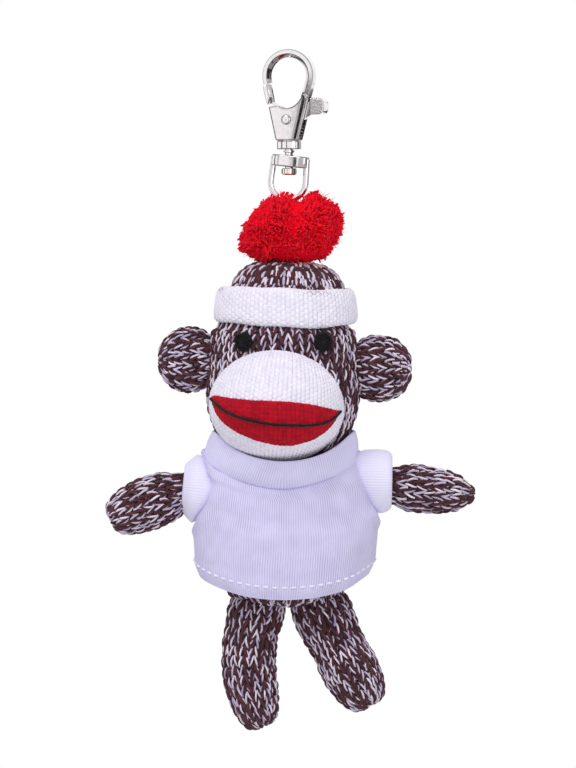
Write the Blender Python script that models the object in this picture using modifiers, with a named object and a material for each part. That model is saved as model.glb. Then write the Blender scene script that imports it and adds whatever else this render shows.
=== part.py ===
"""Sock monkey doll hanging on a swivel clasp, as separate solids at real size.

The origin is the inner crown of the clasp's eye, where the doll hangs.
+Z is up, the doll faces -Y, and left is the viewer's left, -X.
"""

import math
from collections import namedtuple

import bmesh
import bpy
from mathutils import Matrix, Vector

MM = 0.001

# Clearances
GAP = 0.3 * MM
PLAY = 0.15 * MM
OVERRUN = 6.0 * MM

# Clasp: the cast hook
HOOK_YAW = math.radians(-17)
EYE_WIDTH = 9.4 * MM
EYE_HEIGHT = 12.8 * MM
HOOK_WIRE = 2.0 * MM
HOOK_DEPTH = 3.0 * MM
HOOK_TIP_DROP = 6.65 * MM
HOOK_ARM_FOOT = 2.9 * MM
HOUSING_LENGTH = 8.1 * MM
HOUSING_DEPTH = 5.0 * MM
HOUSING_SHOULDER = 4.8 * MM
HOUSING_FOOT = 2.7 * MM
HOUSING_EDGE = 0.45 * MM
SHOULDER_REACH = 5.7 * MM
SHOULDER_RISE = 3.2 * MM
COLLAR_WIDTH = 6.1 * MM
COLLAR_DEPTH = 5.2 * MM
COLLAR_HEIGHT = 2.2 * MM
COLLAR_EDGE = 0.3 * MM

# Clasp: the lever in the housing's slot
SLOT_WIDTH = 2.2 * MM
SLOT_FLOOR = 1.2 * MM
SLOT_HALF = 3.3 * MM
SLOT_MOUTH = 5.7 * MM
RIVET_DROP = 2.9 * MM
RIVET_RADIUS = 1.0 * MM
RIVET_HEAD_RADIUS = 1.35 * MM
RIVET_HEAD = 0.35 * MM
LEVER_THICK = 1.6 * MM
GATE_WIDTH = 1.75 * MM
GATE_DEPTH = 2.8 * MM
GATE_SLANT = 1.5 * MM
GATE_TIP_SLOPE = 0.9 * MM
HUB_RADIUS = 1.9 * MM
TAB_LENGTH = 4.0 * MM
TAB_HEIGHT = 3.9 * MM
TAB_DEPTH = 4.4 * MM
TAB_REACH = 9.8 * MM
TAB_RISE = 3.3 * MM
LEVER_EDGE = 0.3 * MM
SPRING_SEAT = 0.9 * MM
SPRING_RADIUS = 0.6 * MM
SPRING_WIRE = 0.3 * MM
SPRING_PLACE = 2.2 * MM
SPRING_CURLS = 3

# Clasp: the swivel pin and the ring
PIN_RADIUS = 1.0 * MM
PIN_SEAT = 2.2 * MM
PIN_HEAD_RADIUS = 1.9 * MM
PIN_HEAD = 1.7 * MM
PIN_EDGE = 0.4 * MM
STRAP_LENGTH = 9.4 * MM
STRAP_DEPTH = 4.0 * MM
STRAP_HEIGHT = 2.9 * MM
STRAP_EDGE = 0.5 * MM
STRAP_DROP = 2.9 * MM
STRAP_SHIFT = 0.35 * MM
STRAP_HOLE = 1.65 * MM
RING_ROLL = math.radians(6)
RING_WIRE = 1.4 * MM
RING_WIDTH = 9.2 * MM
RING_HEIGHT = 9.7 * MM
RING_NECK = 8.2 * MM

# Hanging loop and pompom
LOOP_THREAD = 0.8 * MM
POMPOM_SINK = 2.0 * MM
POMPOM_WIDTH = 25.4 * MM
POMPOM_DEPTH = 24.0 * MM
POMPOM_HEIGHT = 18.0 * MM
POMPOM_SHIFT = 0.6 * MM
POMPOM_BORE = 3.6 * MM
POMPOM_SETTLE = 0.6 * MM
NOTCH_LENGTH = 12.4 * MM
NOTCH_FLOOR = 1.5 * MM
TIE_RADIUS = 2.7 * MM
TIE_THREAD = 0.8 * MM

# Head, hat and face
HEAD_SHIFT = -1.5 * MM
HEAD_WIDTH = 38.6 * MM
HEAD_DEPTH = 34.0 * MM
HEAD_HEIGHT = 49.2 * MM
HEAD_WALL = 1.2 * MM
NECK_CUT = 0.4 * MM
NECK_BORE = 4.0 * MM
CROWN_WALL = 1.2 * MM
CROWN_HEIGHT = 11.4 * MM
BAND_WIDTH = 35.8 * MM
BAND_DEPTH = 32.8 * MM
BAND_HEIGHT = 9.6 * MM
BAND_DROP = 0.4 * MM
BAND_SHIFT = -0.8 * MM
BAND_ROLL = math.radians(1.3)
EAR_HEIGHTS = {"left": 20.0 * MM, "right": 18.4 * MM}
EAR_THICK = 8.6 * MM
EAR_REACHES = {"left": 11.8 * MM, "right": 13.0 * MM}
EAR_ROLL_RADIUS = 1.2 * MM
EAR_ROLL_LENGTH = 15.0 * MM
EAR_STAND = 0.9 * MM
EAR_CLIP = 1.1 * MM
EAR_WALL = 1.0 * MM
EAR_MOUTH = 0.6 * MM
EYE_RADIUS = 2.3 * MM
EYE_THICK = 1.5 * MM
EYE_SPREAD = 19.4 * MM
MUZZLE_SHIFT = -1.6 * MM
MUZZLE_WIDTH = 33.4 * MM
MUZZLE_HEIGHT = 27.6 * MM
MUZZLE_REACH = 8.0 * MM
MUZZLE_SINK = 8.0 * MM
MUZZLE_ROLL = math.radians(5)
MUZZLE_WALL = 1.2 * MM
LIPS_WIDTH = 32.4 * MM
LIPS_DROP = 10.8 * MM
LIPS_RISE = 1.3 * MM
LIPS_THICK = 0.9 * MM
MOUTH_THREAD = 1.0 * MM
MOUTH_SAG = 5.6 * MM

# Body and limbs
TORSO_SHIFT = -0.9 * MM
TORSO_WIDTH = 35.0 * MM
TORSO_DEPTH = 24.4 * MM
TORSO_HEIGHT = 36.5 * MM
TORSO_WALL = 1.0 * MM
NECK_OVERLAP = 0.8 * MM
LIMB_WALL = 1.0 * MM
ROOT_BORE = 1.6 * MM
ARM_ROOT_RADIUS = 4.6 * MM
ARM_THICK = 15.2 * MM
ARM_STANDS = {"left": 3.5 * MM, "right": 5.8 * MM}
ARM_DROPS = {"left": 6.4 * MM, "right": 4.9 * MM}
ARM_LENGTHS = {"left": 27.4 * MM, "right": 28.6 * MM}
ARM_DROOPS = {"left": math.radians(17.5), "right": math.radians(6.5)}
ARM_SAG = 1.0 * MM
HIP_DROP = 3.1 * MM
HIP_RADIUS = 6.6 * MM
HIP_WIDTH = 15.2 * MM
HIP_EDGE = 2.4 * MM
HIP_SPREAD = 16.6 * MM
HIP_SHIFT = 0.8 * MM
LEG_THICK = 15.0 * MM
LEG_DEPTH = 14.0 * MM
FOOT_FORWARD = 1.5 * MM
LEG_LENGTHS = {"left": 27.3 * MM, "right": 23.4 * MM}
LEG_LEANS = {"left": 2.4 * MM, "right": 11.0 * MM}
LEG_BENDS = {"left": -4.6 * MM, "right": 3.0 * MM}

# Shirt
SHIRT_SHIFT = -0.8 * MM
SHIRT_WIDTH = 45.8 * MM
SHIRT_DEPTH = 30.0 * MM
SHIRT_WALL = 0.9 * MM
SEAM_DROP = -0.8 * MM
SEAM_RISE = 6.4 * MM
SEAM_BACK_RISE = 0.4 * MM
HEM_DROP = 29.4 * MM
HEM_DIP = 4.0 * MM
COLLAR_BAND = 1.2 * MM
COLLAR_TOP_WIDTH = 36.4 * MM
COLLAR_TOP_DEPTH = 31.0 * MM
COLLAR_TOP_DROP = -5.8 * MM
COLLAR_TOP_RISE = 6.5 * MM
SLEEVE_START = 0.6 * MM
SLEEVE_LENGTH = 6.6 * MM
SLEEVE_RADIUS = 8.3 * MM
CUFF_RADIUS = 7.1 * MM
SLEEVE_WALL = 0.8 * MM
HEM_THREAD = 0.5 * MM
HEM_MARGIN = 3.7 * MM

# Girth along a form as (share of its length, share of its half width)
HEAD_SHARES = (
    (0, 0.90), (0.1, 0.975), (0.18, 1.017), (0.28, 1.03), (0.38, 1.014), (0.5, 0.98),
    (0.63, 0.97), (0.67, 0.965), (0.71, 0.885), (0.8, 0.85), (0.89, 0.858), (1, 0.89),
)
TORSO_SHARES = ((0, 0.7), (0.08, 0.88), (0.2, 0.98), (0.6, 1.0), (0.8, 1.05), (1, 1.1))
ARM_SHARES = ((0, 0.62), (0.12, 0.68), (0.3, 0.9), (0.55, 1.0), (0.8, 1.02), (1, 1.0))
LEG_SHARES = ((0, 0.95), (0.25, 0.99), (0.5, 0.96), (0.8, 1.03), (1, 1.0))
SHIRT_SHARES = (
    (0, 0.78), (0.1, 0.86), (0.3, 0.93), (0.5, 0.99), (0.65, 1.0), (0.85, 0.97), (1, 0.9),
)
FACET_SHARE = 0.35
HEAD_FULLNESS = 0.5
TORSO_FULLNESS = 0.5
LIMB_FULLNESS = 0.6
POMPOM_FULLNESS = 0.8
BAND_FULLNESS = 0.13
BAND_TAPER_SHARE = 0.03
POMPOM_CLEFT_SHARE = 0.10
POMPOM_CLEFT_WIDTH = 0.35
EAR_PLACE_SHARE = 0.5
COLLAR_FLARE_SHARE = 0.55
EYE_PLACE_SHARE = 0.62
MUZZLE_PLACE_SHARE = 0.295
NOTCH_SLOPE = 1.05
TIE_PLACE_SHARE = 0.5

# Places that follow from the sizes, down from the eye's crown
HOUSING_TOP = -EYE_HEIGHT
HOUSING_BASE = HOUSING_TOP - HOUSING_LENGTH
COLLAR_BASE = HOUSING_BASE - COLLAR_HEIGHT
SLOT_BASE = HOUSING_BASE + SLOT_FLOOR
RIVET_Z = HOUSING_TOP - RIVET_DROP
STRAP_Z = COLLAR_BASE - STRAP_DROP
PIN_HEAD_TOP = (
    STRAP_Z - STRAP_HEIGHT / 2 - GAP / 2 - PIN_HEAD_RADIUS * math.tan(abs(RING_ROLL))
)
RING_ARC = RING_WIDTH / 2
ARC_DROP = RING_HEIGHT - RING_ARC
ARC_SHIFT = STRAP_SHIFT * math.cos(RING_ROLL) - ARC_DROP * math.sin(RING_ROLL)
RING_X = ARC_SHIFT * math.cos(HOOK_YAW)
RING_Y = ARC_SHIFT * math.sin(HOOK_YAW)
RING_Z = (
    STRAP_Z - STRAP_SHIFT * math.sin(RING_ROLL) - ARC_DROP * math.cos(RING_ROLL) - RING_ARC
)
POMPOM_TOP = RING_Z + POMPOM_SINK
POMPOM_Z = POMPOM_TOP - POMPOM_HEIGHT / 2
CROWN_TOP = POMPOM_TOP - POMPOM_HEIGHT + POMPOM_SETTLE
HEAD_TOP = CROWN_TOP - GAP - CROWN_WALL
HEAD_BASE = HEAD_TOP - HEAD_HEIGHT
NECK_Z = HEAD_BASE + NECK_CUT
TORSO_TOP = HEAD_BASE + NECK_OVERLAP
TORSO_BASE = TORSO_TOP - TORSO_HEIGHT
HIP_Z = TORSO_BASE - HIP_DROP
HEM_Z = NECK_Z - HEM_DROP

Form = namedtuple("Form", "root bend tip half_width half_depth fullness shares")
SIDES = {"left": -1, "right": 1}

parts = None
cutters = None


def start_scene():
    global parts, cutters
    for old in list(bpy.data.objects):
        bpy.data.objects.remove(old)
    parts = bpy.data.collections.new("sock_monkey_doll")
    cutters = bpy.data.collections.new("cutters")
    for group in (parts, cutters):
        bpy.context.scene.collection.children.link(group)


def material(name, colour, roughness, metallic=0.0):
    made = bpy.data.materials.new(name)
    made.use_nodes = True
    shader = made.node_tree.nodes["Principled BSDF"]
    shader.inputs["Base Color"].default_value = (*colour, 1)
    shader.inputs["Roughness"].default_value = roughness
    shader.inputs["Metallic"].default_value = metallic
    return made


def add_object(name, mesh, finish=None, parent=None):
    """An object in the parts, or among the cutters where it has no finish."""
    made = bpy.data.objects.new(name, mesh)
    if finish is None:
        cutters.objects.link(made)
        made.hide_render = True
        made.display_type = "WIRE"
    else:
        parts.objects.link(made)
        mesh.materials.append(finish)
    made.parent = parent
    return made


def mesh_from(shape, name):
    """A mesh data block from a bmesh, facing out and shaded smooth between its sharp edges."""
    shape.normal_update()
    bmesh.ops.recalc_face_normals(shape, faces=shape.faces)
    mesh = bpy.data.meshes.new(name)
    shape.to_mesh(mesh)
    shape.free()
    mesh.shade_smooth()
    mesh.set_sharp_from_angle(angle=math.radians(40))
    return mesh


def add_empty(name, place, turn):
    empty = bpy.data.objects.new(name, None)
    parts.objects.link(empty)
    empty.location = place
    empty.rotation_euler = turn
    return empty


def boolean(target, other, operation="DIFFERENCE"):
    step = target.modifiers.new(operation.lower() + "_" + other.name, "BOOLEAN")
    step.operation = operation
    step.object = other


def add_bevel(target, width, segments=2):
    edge = target.modifiers.new("edge", "BEVEL")
    edge.width = width
    edge.segments = segments
    edge.limit_method = "ANGLE"


def box(name, low, high, finish=None, parent=None):
    shape = bmesh.new()
    bmesh.ops.create_cube(shape, size=1)
    middle = (Vector(low) + Vector(high)) / 2
    size = Vector(high) - Vector(low)
    for vert in shape.verts:
        vert.co = middle + Vector(a * b for a, b in zip(vert.co, size))
    return add_object(name, mesh_from(shape, name), finish, parent)


def cylinder(name, axis, middle, radius, length, finish=None, parent=None, sides=24):
    shape = bmesh.new()
    bmesh.ops.create_cone(
        shape, cap_ends=True, segments=sides, radius1=radius, radius2=radius, depth=length
    )
    turn = Vector((0, 0, 1)).rotation_difference(Vector(axis))
    spin = Matrix.Rotation(FACET_SHARE * math.tau / sides, 3, "Z")
    for vert in shape.verts:
        vert.co = turn @ (spin @ vert.co) + Vector(middle)
    return add_object(name, mesh_from(shape, name), finish, parent)


def ball(name, middle, halves, finish=None, around=20, rings=12):
    shape = bmesh.new()
    bmesh.ops.create_uvsphere(shape, u_segments=around, v_segments=rings, radius=1)
    for vert in shape.verts:
        vert.co = Vector(middle) + Vector(a * b for a, b in zip(vert.co, halves))
    return add_object(name, mesh_from(shape, name), finish)


def curve_mesh(curve, name):
    """The mesh of a curve, with its caps welded on."""
    holder = bpy.data.objects.new(name + "_curve", curve)
    bpy.context.scene.collection.objects.link(holder)
    evaluated = holder.evaluated_get(bpy.context.evaluated_depsgraph_get())
    mesh = bpy.data.meshes.new_from_object(evaluated)
    bpy.data.objects.remove(holder)
    shape = bmesh.new()
    shape.from_mesh(mesh)
    bmesh.ops.remove_doubles(shape, verts=shape.verts, dist=OVERRUN / 1e5)
    return mesh_from(shape, name)


def wire(name, points, radius, finish, parent=None, closed=False, resolution=2, flatten=1.0):
    """A round wire along the points, or a flattened one where flatten isn't 1."""
    curve = bpy.data.curves.new(name, "CURVE")
    curve.dimensions = "3D"
    curve.bevel_depth = radius
    curve.bevel_resolution = resolution
    curve.use_fill_caps = True
    spline = curve.splines.new("POLY")
    spline.points.add(len(points) - 1)
    for point, place in zip(spline.points, points):
        point.co = (*place, 1)
    spline.use_cyclic_u = closed
    mesh = curve_mesh(curve, name)
    for vert in mesh.vertices:
        vert.co.y *= flatten
    return add_object(name, mesh, finish, parent)


def plate(name, outline, depth, finish=None, parent=None):
    """A flat plate in the XZ plane, as deep along Y as depth."""
    curve = bpy.data.curves.new(name, "CURVE")
    curve.dimensions = "2D"
    curve.fill_mode = "BOTH"
    curve.extrude = depth / 2
    spline = curve.splines.new("POLY")
    spline.points.add(len(outline) - 1)
    for point, (x, z) in zip(spline.points, outline):
        point.co = (x, z, 0, 1)
    spline.use_cyclic_u = True
    mesh = curve_mesh(curve, name)
    for vert in mesh.vertices:
        vert.co = (vert.co.x, -vert.co.z, vert.co.y)
    return add_object(name, mesh, finish, parent)


def turned(name, profile, finish, parent=None):
    """A shape turned round Z. Its profile of (radius, z) runs down its outer side."""
    mesh = bpy.data.meshes.new(name)
    edges = [(i, i + 1) for i in range(len(profile) - 1)]
    mesh.from_pydata([(radius, 0, z) for radius, z in profile], edges, [])
    made = add_object(name, mesh, finish, parent)
    turn = made.modifiers.new("turn", "SCREW")
    turn.steps = turn.render_steps = 24
    turn.use_merge_vertices = True
    turn.merge_threshold = 1e-6
    return made


def torus(name, middle, radius, thread, finish):
    points = []
    for step in range(20):
        angle = step * math.tau / 20
        points.append(Vector(middle) + radius * Vector((math.cos(angle), math.sin(angle), 0)))
    return wire(name, points, thread / 2, finish, closed=True, resolution=1)


def share_at(shares, along):
    """The table's value at this share of the length, eased between its rows."""
    for (start, low), (end, high) in zip(shares, shares[1:]):
        if along <= end:
            step = max(along - start, 0) / (end - start)
            return low + (high - low) * step * step * (3 - 2 * step)
    return shares[-1][1]


def girth(form, along):
    """Half the girth at this share of a form's length, as a share of its half width."""
    roundness = 2 * math.sqrt(max(along * (1 - along), 0))
    return roundness**form.fullness * share_at(form.shares, along)


def stuffed(name, form, inset=0.0, finish=None, around=20, rings=12):
    """A stuffed shape: the rings of a unit sphere carried along a bent spine."""
    shape = bmesh.new()
    bmesh.ops.create_uvsphere(shape, u_segments=around, v_segments=rings, radius=1)
    trim = inset / (form.tip - form.root).length
    for vert in shape.verts:
        along = (1 + vert.co.z) / 2
        flat = Vector((vert.co.x, vert.co.y))
        across = flat.normalized() * girth(form, along)
        t = trim + along * (1 - 2 * trim)
        place = form.root * (1 - t) ** 2 + form.bend * 2 * t * (1 - t) + form.tip * t**2
        heading = ((form.bend - form.root) * (1 - t) + (form.tip - form.bend) * t).normalized()
        front = (Vector((0, 1, 0)) - heading * heading.y).normalized()
        side = front.cross(heading)
        width = (form.half_width - inset) * across.x
        depth = (form.half_depth - inset) * across.y
        vert.co = place + side * width + front * depth
    return add_object(name, mesh_from(shape, name), finish)


def straight_form(root, tip, width, depth, fullness, shares):
    return Form(root, (root + tip) / 2, tip, width / 2, depth / 2, fullness, shares)


def skin_and_stuffing(name, form, wall, skin, filling, outer, inner):
    """A knit skin round a cavity, and the stuffing that fills the cavity."""
    shell = stuffed(name, form, 0, skin, *outer)
    boolean(shell, stuffed(name + "_cavity", form, wall, None, *inner))
    stuffing_name = name.replace("_skin", "") + "_stuffing"
    return shell, stuffed(stuffing_name, form, wall + GAP, filling, *inner)


def head_form():
    root = Vector((HEAD_SHIFT, 0, HEAD_BASE))
    tip = Vector((HEAD_SHIFT, 0, HEAD_TOP))
    return straight_form(root, tip, HEAD_WIDTH, HEAD_DEPTH, HEAD_FULLNESS, HEAD_SHARES)


def torso_form():
    root = Vector((TORSO_SHIFT, 0, TORSO_TOP))
    tip = Vector((TORSO_SHIFT, 0, TORSO_BASE))
    return straight_form(root, tip, TORSO_WIDTH, TORSO_DEPTH, TORSO_FULLNESS, TORSO_SHARES)


def shoulder(side):
    """The arm's pivot, standing a little outside the torso's side."""
    form = torso_form()
    reach = form.half_width * girth(form, ARM_DROPS[side] / TORSO_HEIGHT) + ARM_STANDS[side]
    return Vector((TORSO_SHIFT + SIDES[side] * reach, 0, TORSO_TOP - ARM_DROPS[side]))


def ear_hinge(side):
    form = head_form()
    edge = form.half_width * girth(form, EAR_PLACE_SHARE) + EAR_STAND
    return Vector((HEAD_SHIFT + SIDES[side] * edge, 0, HEAD_BASE + EAR_PLACE_SHARE * HEAD_HEIGHT))


def arm_heading(side):
    droop = ARM_DROOPS[side]
    return Vector((SIDES[side] * math.cos(droop), 0, -math.sin(droop)))


def hip(side):
    return Vector((TORSO_SHIFT + HIP_SHIFT + SIDES[side] * HIP_SPREAD / 2, 0, HIP_Z))


def make_hook(chrome, frame):
    """The cast hook: a flattened wire round the eye, its housing and its collar."""
    reach = EYE_WIDTH / 2 + HOOK_WIRE / 2
    centre_z = HOOK_WIRE / 2 - reach
    dip = math.asin((HOOK_TIP_DROP + centre_z) / reach)
    points = []
    for step in range(17):
        angle = math.pi + dip - step * (math.pi + 2 * dip) / 16
        points.append((reach * math.cos(angle), 0, centre_z + reach * math.sin(angle)))
    points.append((SHOULDER_REACH - HOOK_WIRE / 2, 0, HOUSING_TOP + SHOULDER_RISE))
    points.append((HOOK_ARM_FOOT, 0, HOUSING_TOP - HOOK_WIRE / 2))
    hook = wire("hook_body", points, HOOK_WIRE / 2, chrome, frame, flatten=HOOK_DEPTH / HOOK_WIRE)

    outline = [
        (-HOUSING_SHOULDER, HOUSING_TOP + HOOK_WIRE / 2),
        (-HOUSING_FOOT, HOUSING_BASE),
        (HOUSING_FOOT, HOUSING_BASE),
        (HOUSING_SHOULDER, HOUSING_TOP),
        (SHOULDER_REACH, HOUSING_TOP + SHOULDER_RISE),
        (HOOK_ARM_FOOT, HOUSING_TOP + SHOULDER_RISE),
        (0, HOUSING_TOP + HOOK_WIRE / 2),
    ]
    housing = plate("housing", outline, HOUSING_DEPTH, parent=frame)
    add_bevel(housing, HOUSING_EDGE)
    bowl = cylinder("bowl", (0, 1, 0), (0, 0, 0), 1, HOUSING_DEPTH * 2, parent=frame, sides=32)
    for vert in bowl.data.vertices:
        vert.co.x *= EYE_WIDTH / 2
        vert.co.z = vert.co.z * EYE_HEIGHT / 2 - EYE_HEIGHT / 2
    boolean(housing, bowl)
    collar = cylinder(
        "collar_block", (0, 0, 1), (0, 0, HOUSING_BASE - COLLAR_HEIGHT / 2 + PLAY / 2), 1,
        COLLAR_HEIGHT + PLAY, parent=frame,
    )
    for vert in collar.data.vertices:
        vert.co.x *= COLLAR_WIDTH / 2
        vert.co.y *= COLLAR_DEPTH / 2
    add_bevel(collar, COLLAR_EDGE, 1)
    boolean(hook, housing, "UNION")
    boolean(hook, collar, "UNION")

    slot = SLOT_WIDTH / 2
    top = HOUSING_TOP + SHOULDER_RISE + OVERRUN
    cuts = (
        ("slot_middle", (-SLOT_HALF, -slot, SLOT_BASE), (SLOT_HALF / 2, slot, top)),
        ("slot_left", (-TAB_REACH, -slot, RIVET_Z - HOOK_WIRE / 2), (0, slot, top)),
        ("slot_right", (0, -slot, SLOT_BASE), (TAB_REACH, slot, RIVET_Z + SLOT_MOUTH)),
    )
    for name, low, high in cuts:
        boolean(hook, box(name, low, high, parent=frame))
    boolean(hook, cylinder(
        "rivet_hole", (0, 1, 0), (0, 0, RIVET_Z), RIVET_RADIUS + PLAY, HOUSING_DEPTH * 2, parent=frame
    ))
    seat_top = COLLAR_BASE + PIN_SEAT + PLAY
    boolean(hook, cylinder(
        "pin_seat", (0, 0, 1), (0, 0, seat_top - OVERRUN / 2), PIN_RADIUS + PLAY, OVERRUN, parent=frame
    ))


def make_lever(chrome, frame):
    """One lever: the gate up on the left, the hub on the rivet and the tab out on the right."""
    tip_x = -(EYE_WIDTH + HOOK_WIRE) / 2 * math.cos(0.35) - GATE_WIDTH / 2
    tip_z = -HOOK_TIP_DROP - GAP
    foot_z = HOUSING_TOP + HOOK_WIRE / 2 + GAP
    foot_x = tip_x + GATE_SLANT
    tab_z = RIVET_Z + TAB_RISE
    tab_x = TAB_REACH - TAB_LENGTH
    seat_z = RIVET_Z - SPRING_SEAT
    seat_end = SPRING_PLACE + SPRING_RADIUS + SPRING_WIRE
    outline = [
        (tip_x + LEVER_EDGE, tip_z - GATE_WIDTH),
        (foot_x + LEVER_EDGE, foot_z),
        (-HUB_RADIUS, RIVET_Z - HUB_RADIUS / 3),
        (-HUB_RADIUS / 2, RIVET_Z - HUB_RADIUS),
        (HUB_RADIUS / 2, RIVET_Z - HUB_RADIUS),
        (SPRING_PLACE - SPRING_RADIUS - SPRING_WIRE, seat_z),
        (seat_end, seat_z),
        (tab_x, tab_z - TAB_HEIGHT / 2),
        (TAB_REACH - LEVER_EDGE, tab_z - TAB_HEIGHT / 2),
        (TAB_REACH - LEVER_EDGE, tab_z + TAB_HEIGHT / 2),
        (tab_x, tab_z + TAB_HEIGHT / 2),
        (HUB_RADIUS, RIVET_Z + HUB_RADIUS),
        (0, RIVET_Z + HUB_RADIUS),
        (foot_x + GATE_WIDTH - LEVER_EDGE, foot_z),
        (tip_x + GATE_WIDTH - LEVER_EDGE, tip_z - GATE_WIDTH),
    ]
    lever = plate("gate_lever", outline, LEVER_THICK, chrome, frame)
    gate_outline = [
        (tip_x, tip_z - GATE_TIP_SLOPE),
        (foot_x, foot_z),
        (foot_x + GATE_WIDTH, foot_z),
        (tip_x + GATE_WIDTH, tip_z),
    ]
    gate = plate("gate_block", gate_outline, GATE_DEPTH, parent=frame)
    tab = box(
        "tab_block",
        (tab_x + LEVER_EDGE, -TAB_DEPTH / 2, tab_z - TAB_HEIGHT / 2 - PLAY),
        (TAB_REACH, TAB_DEPTH / 2, tab_z + TAB_HEIGHT / 2 + PLAY),
        parent=frame,
    )
    for block in (gate, tab):
        add_bevel(block, LEVER_EDGE)
        boolean(lever, block, "UNION")
    hub_hole = cylinder(
        "hub_hole", (0, 1, 0), (0, 0, RIVET_Z), RIVET_RADIUS + PLAY, HOUSING_DEPTH, parent=frame
    )
    boolean(lever, hub_hole)


def make_rivet(chrome, frame):
    """The rivet through both cheeks, with a flat head on each side."""
    half = HOUSING_DEPTH / 2 + PLAY
    rivet = turned("gate_rivet", [
        (0, half + RIVET_HEAD),
        (RIVET_HEAD_RADIUS - RIVET_HEAD / 2, half + RIVET_HEAD),
        (RIVET_HEAD_RADIUS, half + RIVET_HEAD / 2),
        (RIVET_HEAD_RADIUS, half),
        (RIVET_RADIUS, half),
        (RIVET_RADIUS, -half),
        (RIVET_HEAD_RADIUS, -half),
        (RIVET_HEAD_RADIUS, -half - RIVET_HEAD),
        (0, -half - RIVET_HEAD),
    ], chrome, frame)
    rivet.rotation_euler = (math.pi / 2, 0, 0)
    rivet.location = (0, 0, RIVET_Z)


def make_spring(steel, frame):
    """A short coil between the slot's floor and the lever, right of the rivet."""
    low = SLOT_BASE + PLAY + SPRING_WIRE / 2
    high = RIVET_Z - SPRING_SEAT - PLAY - SPRING_WIRE / 2
    steps = SPRING_CURLS * 9
    points = []
    for step in range(steps + 1):
        angle = step * math.tau / 9
        z = low + (high - low) * step / steps
        place = (SPRING_PLACE + SPRING_RADIUS * math.cos(angle), SPRING_RADIUS * math.sin(angle), z)
        points.append(place)
    wire("gate_spring", points, SPRING_WIRE / 2, steel, frame, resolution=1)
    pitch = (high - low) / SPRING_CURLS
    print(f"gate_spring least gap between turns {(pitch - SPRING_WIRE) / MM:.2f} mm")


def make_swivel_pin(chrome):
    base = PIN_HEAD_TOP - PIN_HEAD
    turned("swivel_pin", [
        (0, COLLAR_BASE + PIN_SEAT),
        (PIN_RADIUS, COLLAR_BASE + PIN_SEAT),
        (PIN_RADIUS, PIN_HEAD_TOP),
        (PIN_HEAD_RADIUS, PIN_HEAD_TOP),
        (PIN_HEAD_RADIUS, base + PIN_EDGE),
        (PIN_HEAD_RADIUS - PIN_EDGE, base),
        (0, base),
    ], chrome)


def make_ring(chrome):
    """The strap with its hole for the pin, and the U of wire that leaves its two ends."""
    frame = add_empty("ring_frame", (0, 0, STRAP_Z), (0, RING_ROLL, HOOK_YAW))
    half = STRAP_HEIGHT / 2
    low = (STRAP_SHIFT - STRAP_LENGTH / 2, -STRAP_DEPTH / 2, -half)
    high = (STRAP_SHIFT + STRAP_LENGTH / 2, STRAP_DEPTH / 2, half)
    ring = box("d_ring", low, high, chrome, frame)
    add_bevel(ring, STRAP_EDGE)
    left, right = STRAP_SHIFT - RING_NECK / 2, STRAP_SHIFT + RING_NECK / 2
    points = [(left, 0, -half / 2), (left, 0, -half)]
    for step in range(17):
        angle = math.pi + step * math.pi / 16
        x = STRAP_SHIFT + RING_ARC * math.cos(angle)
        points.append((x, 0, RING_ARC * math.sin(angle) - ARC_DROP))
    points += [(right, 0, -half), (right, 0, -half / 2)]
    bow = wire("ring_bow", points, RING_WIRE / 2, None, frame)
    boolean(ring, bow, "UNION")
    hole = cylinder(
        "strap_hole", (0, 0, 1), (STRAP_SHIFT, 0, 0), STRAP_HOLE, STRAP_HEIGHT * 2, parent=frame
    )
    boolean(ring, hole)


def make_hanging_loop(thread):
    """A closed loop of thread, round the ring's wire at the top and on the crown below."""
    radius = (RING_WIRE + LOOP_THREAD) / 2 + GAP
    foot_z = CROWN_TOP + GAP + LOOP_THREAD / 2 + radius
    points = []
    for step in range(18):
        angle = step * math.tau / 18
        level = RING_Z if step <= 9 else foot_z
        reach = radius * math.cos(angle)
        points.append((
            RING_X - reach * math.sin(HOOK_YAW),
            RING_Y + reach * math.cos(HOOK_YAW),
            level + radius * math.sin(angle),
        ))
    wire("hanging_loop", points, LOOP_THREAD / 2, thread, closed=True, resolution=1)


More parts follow.
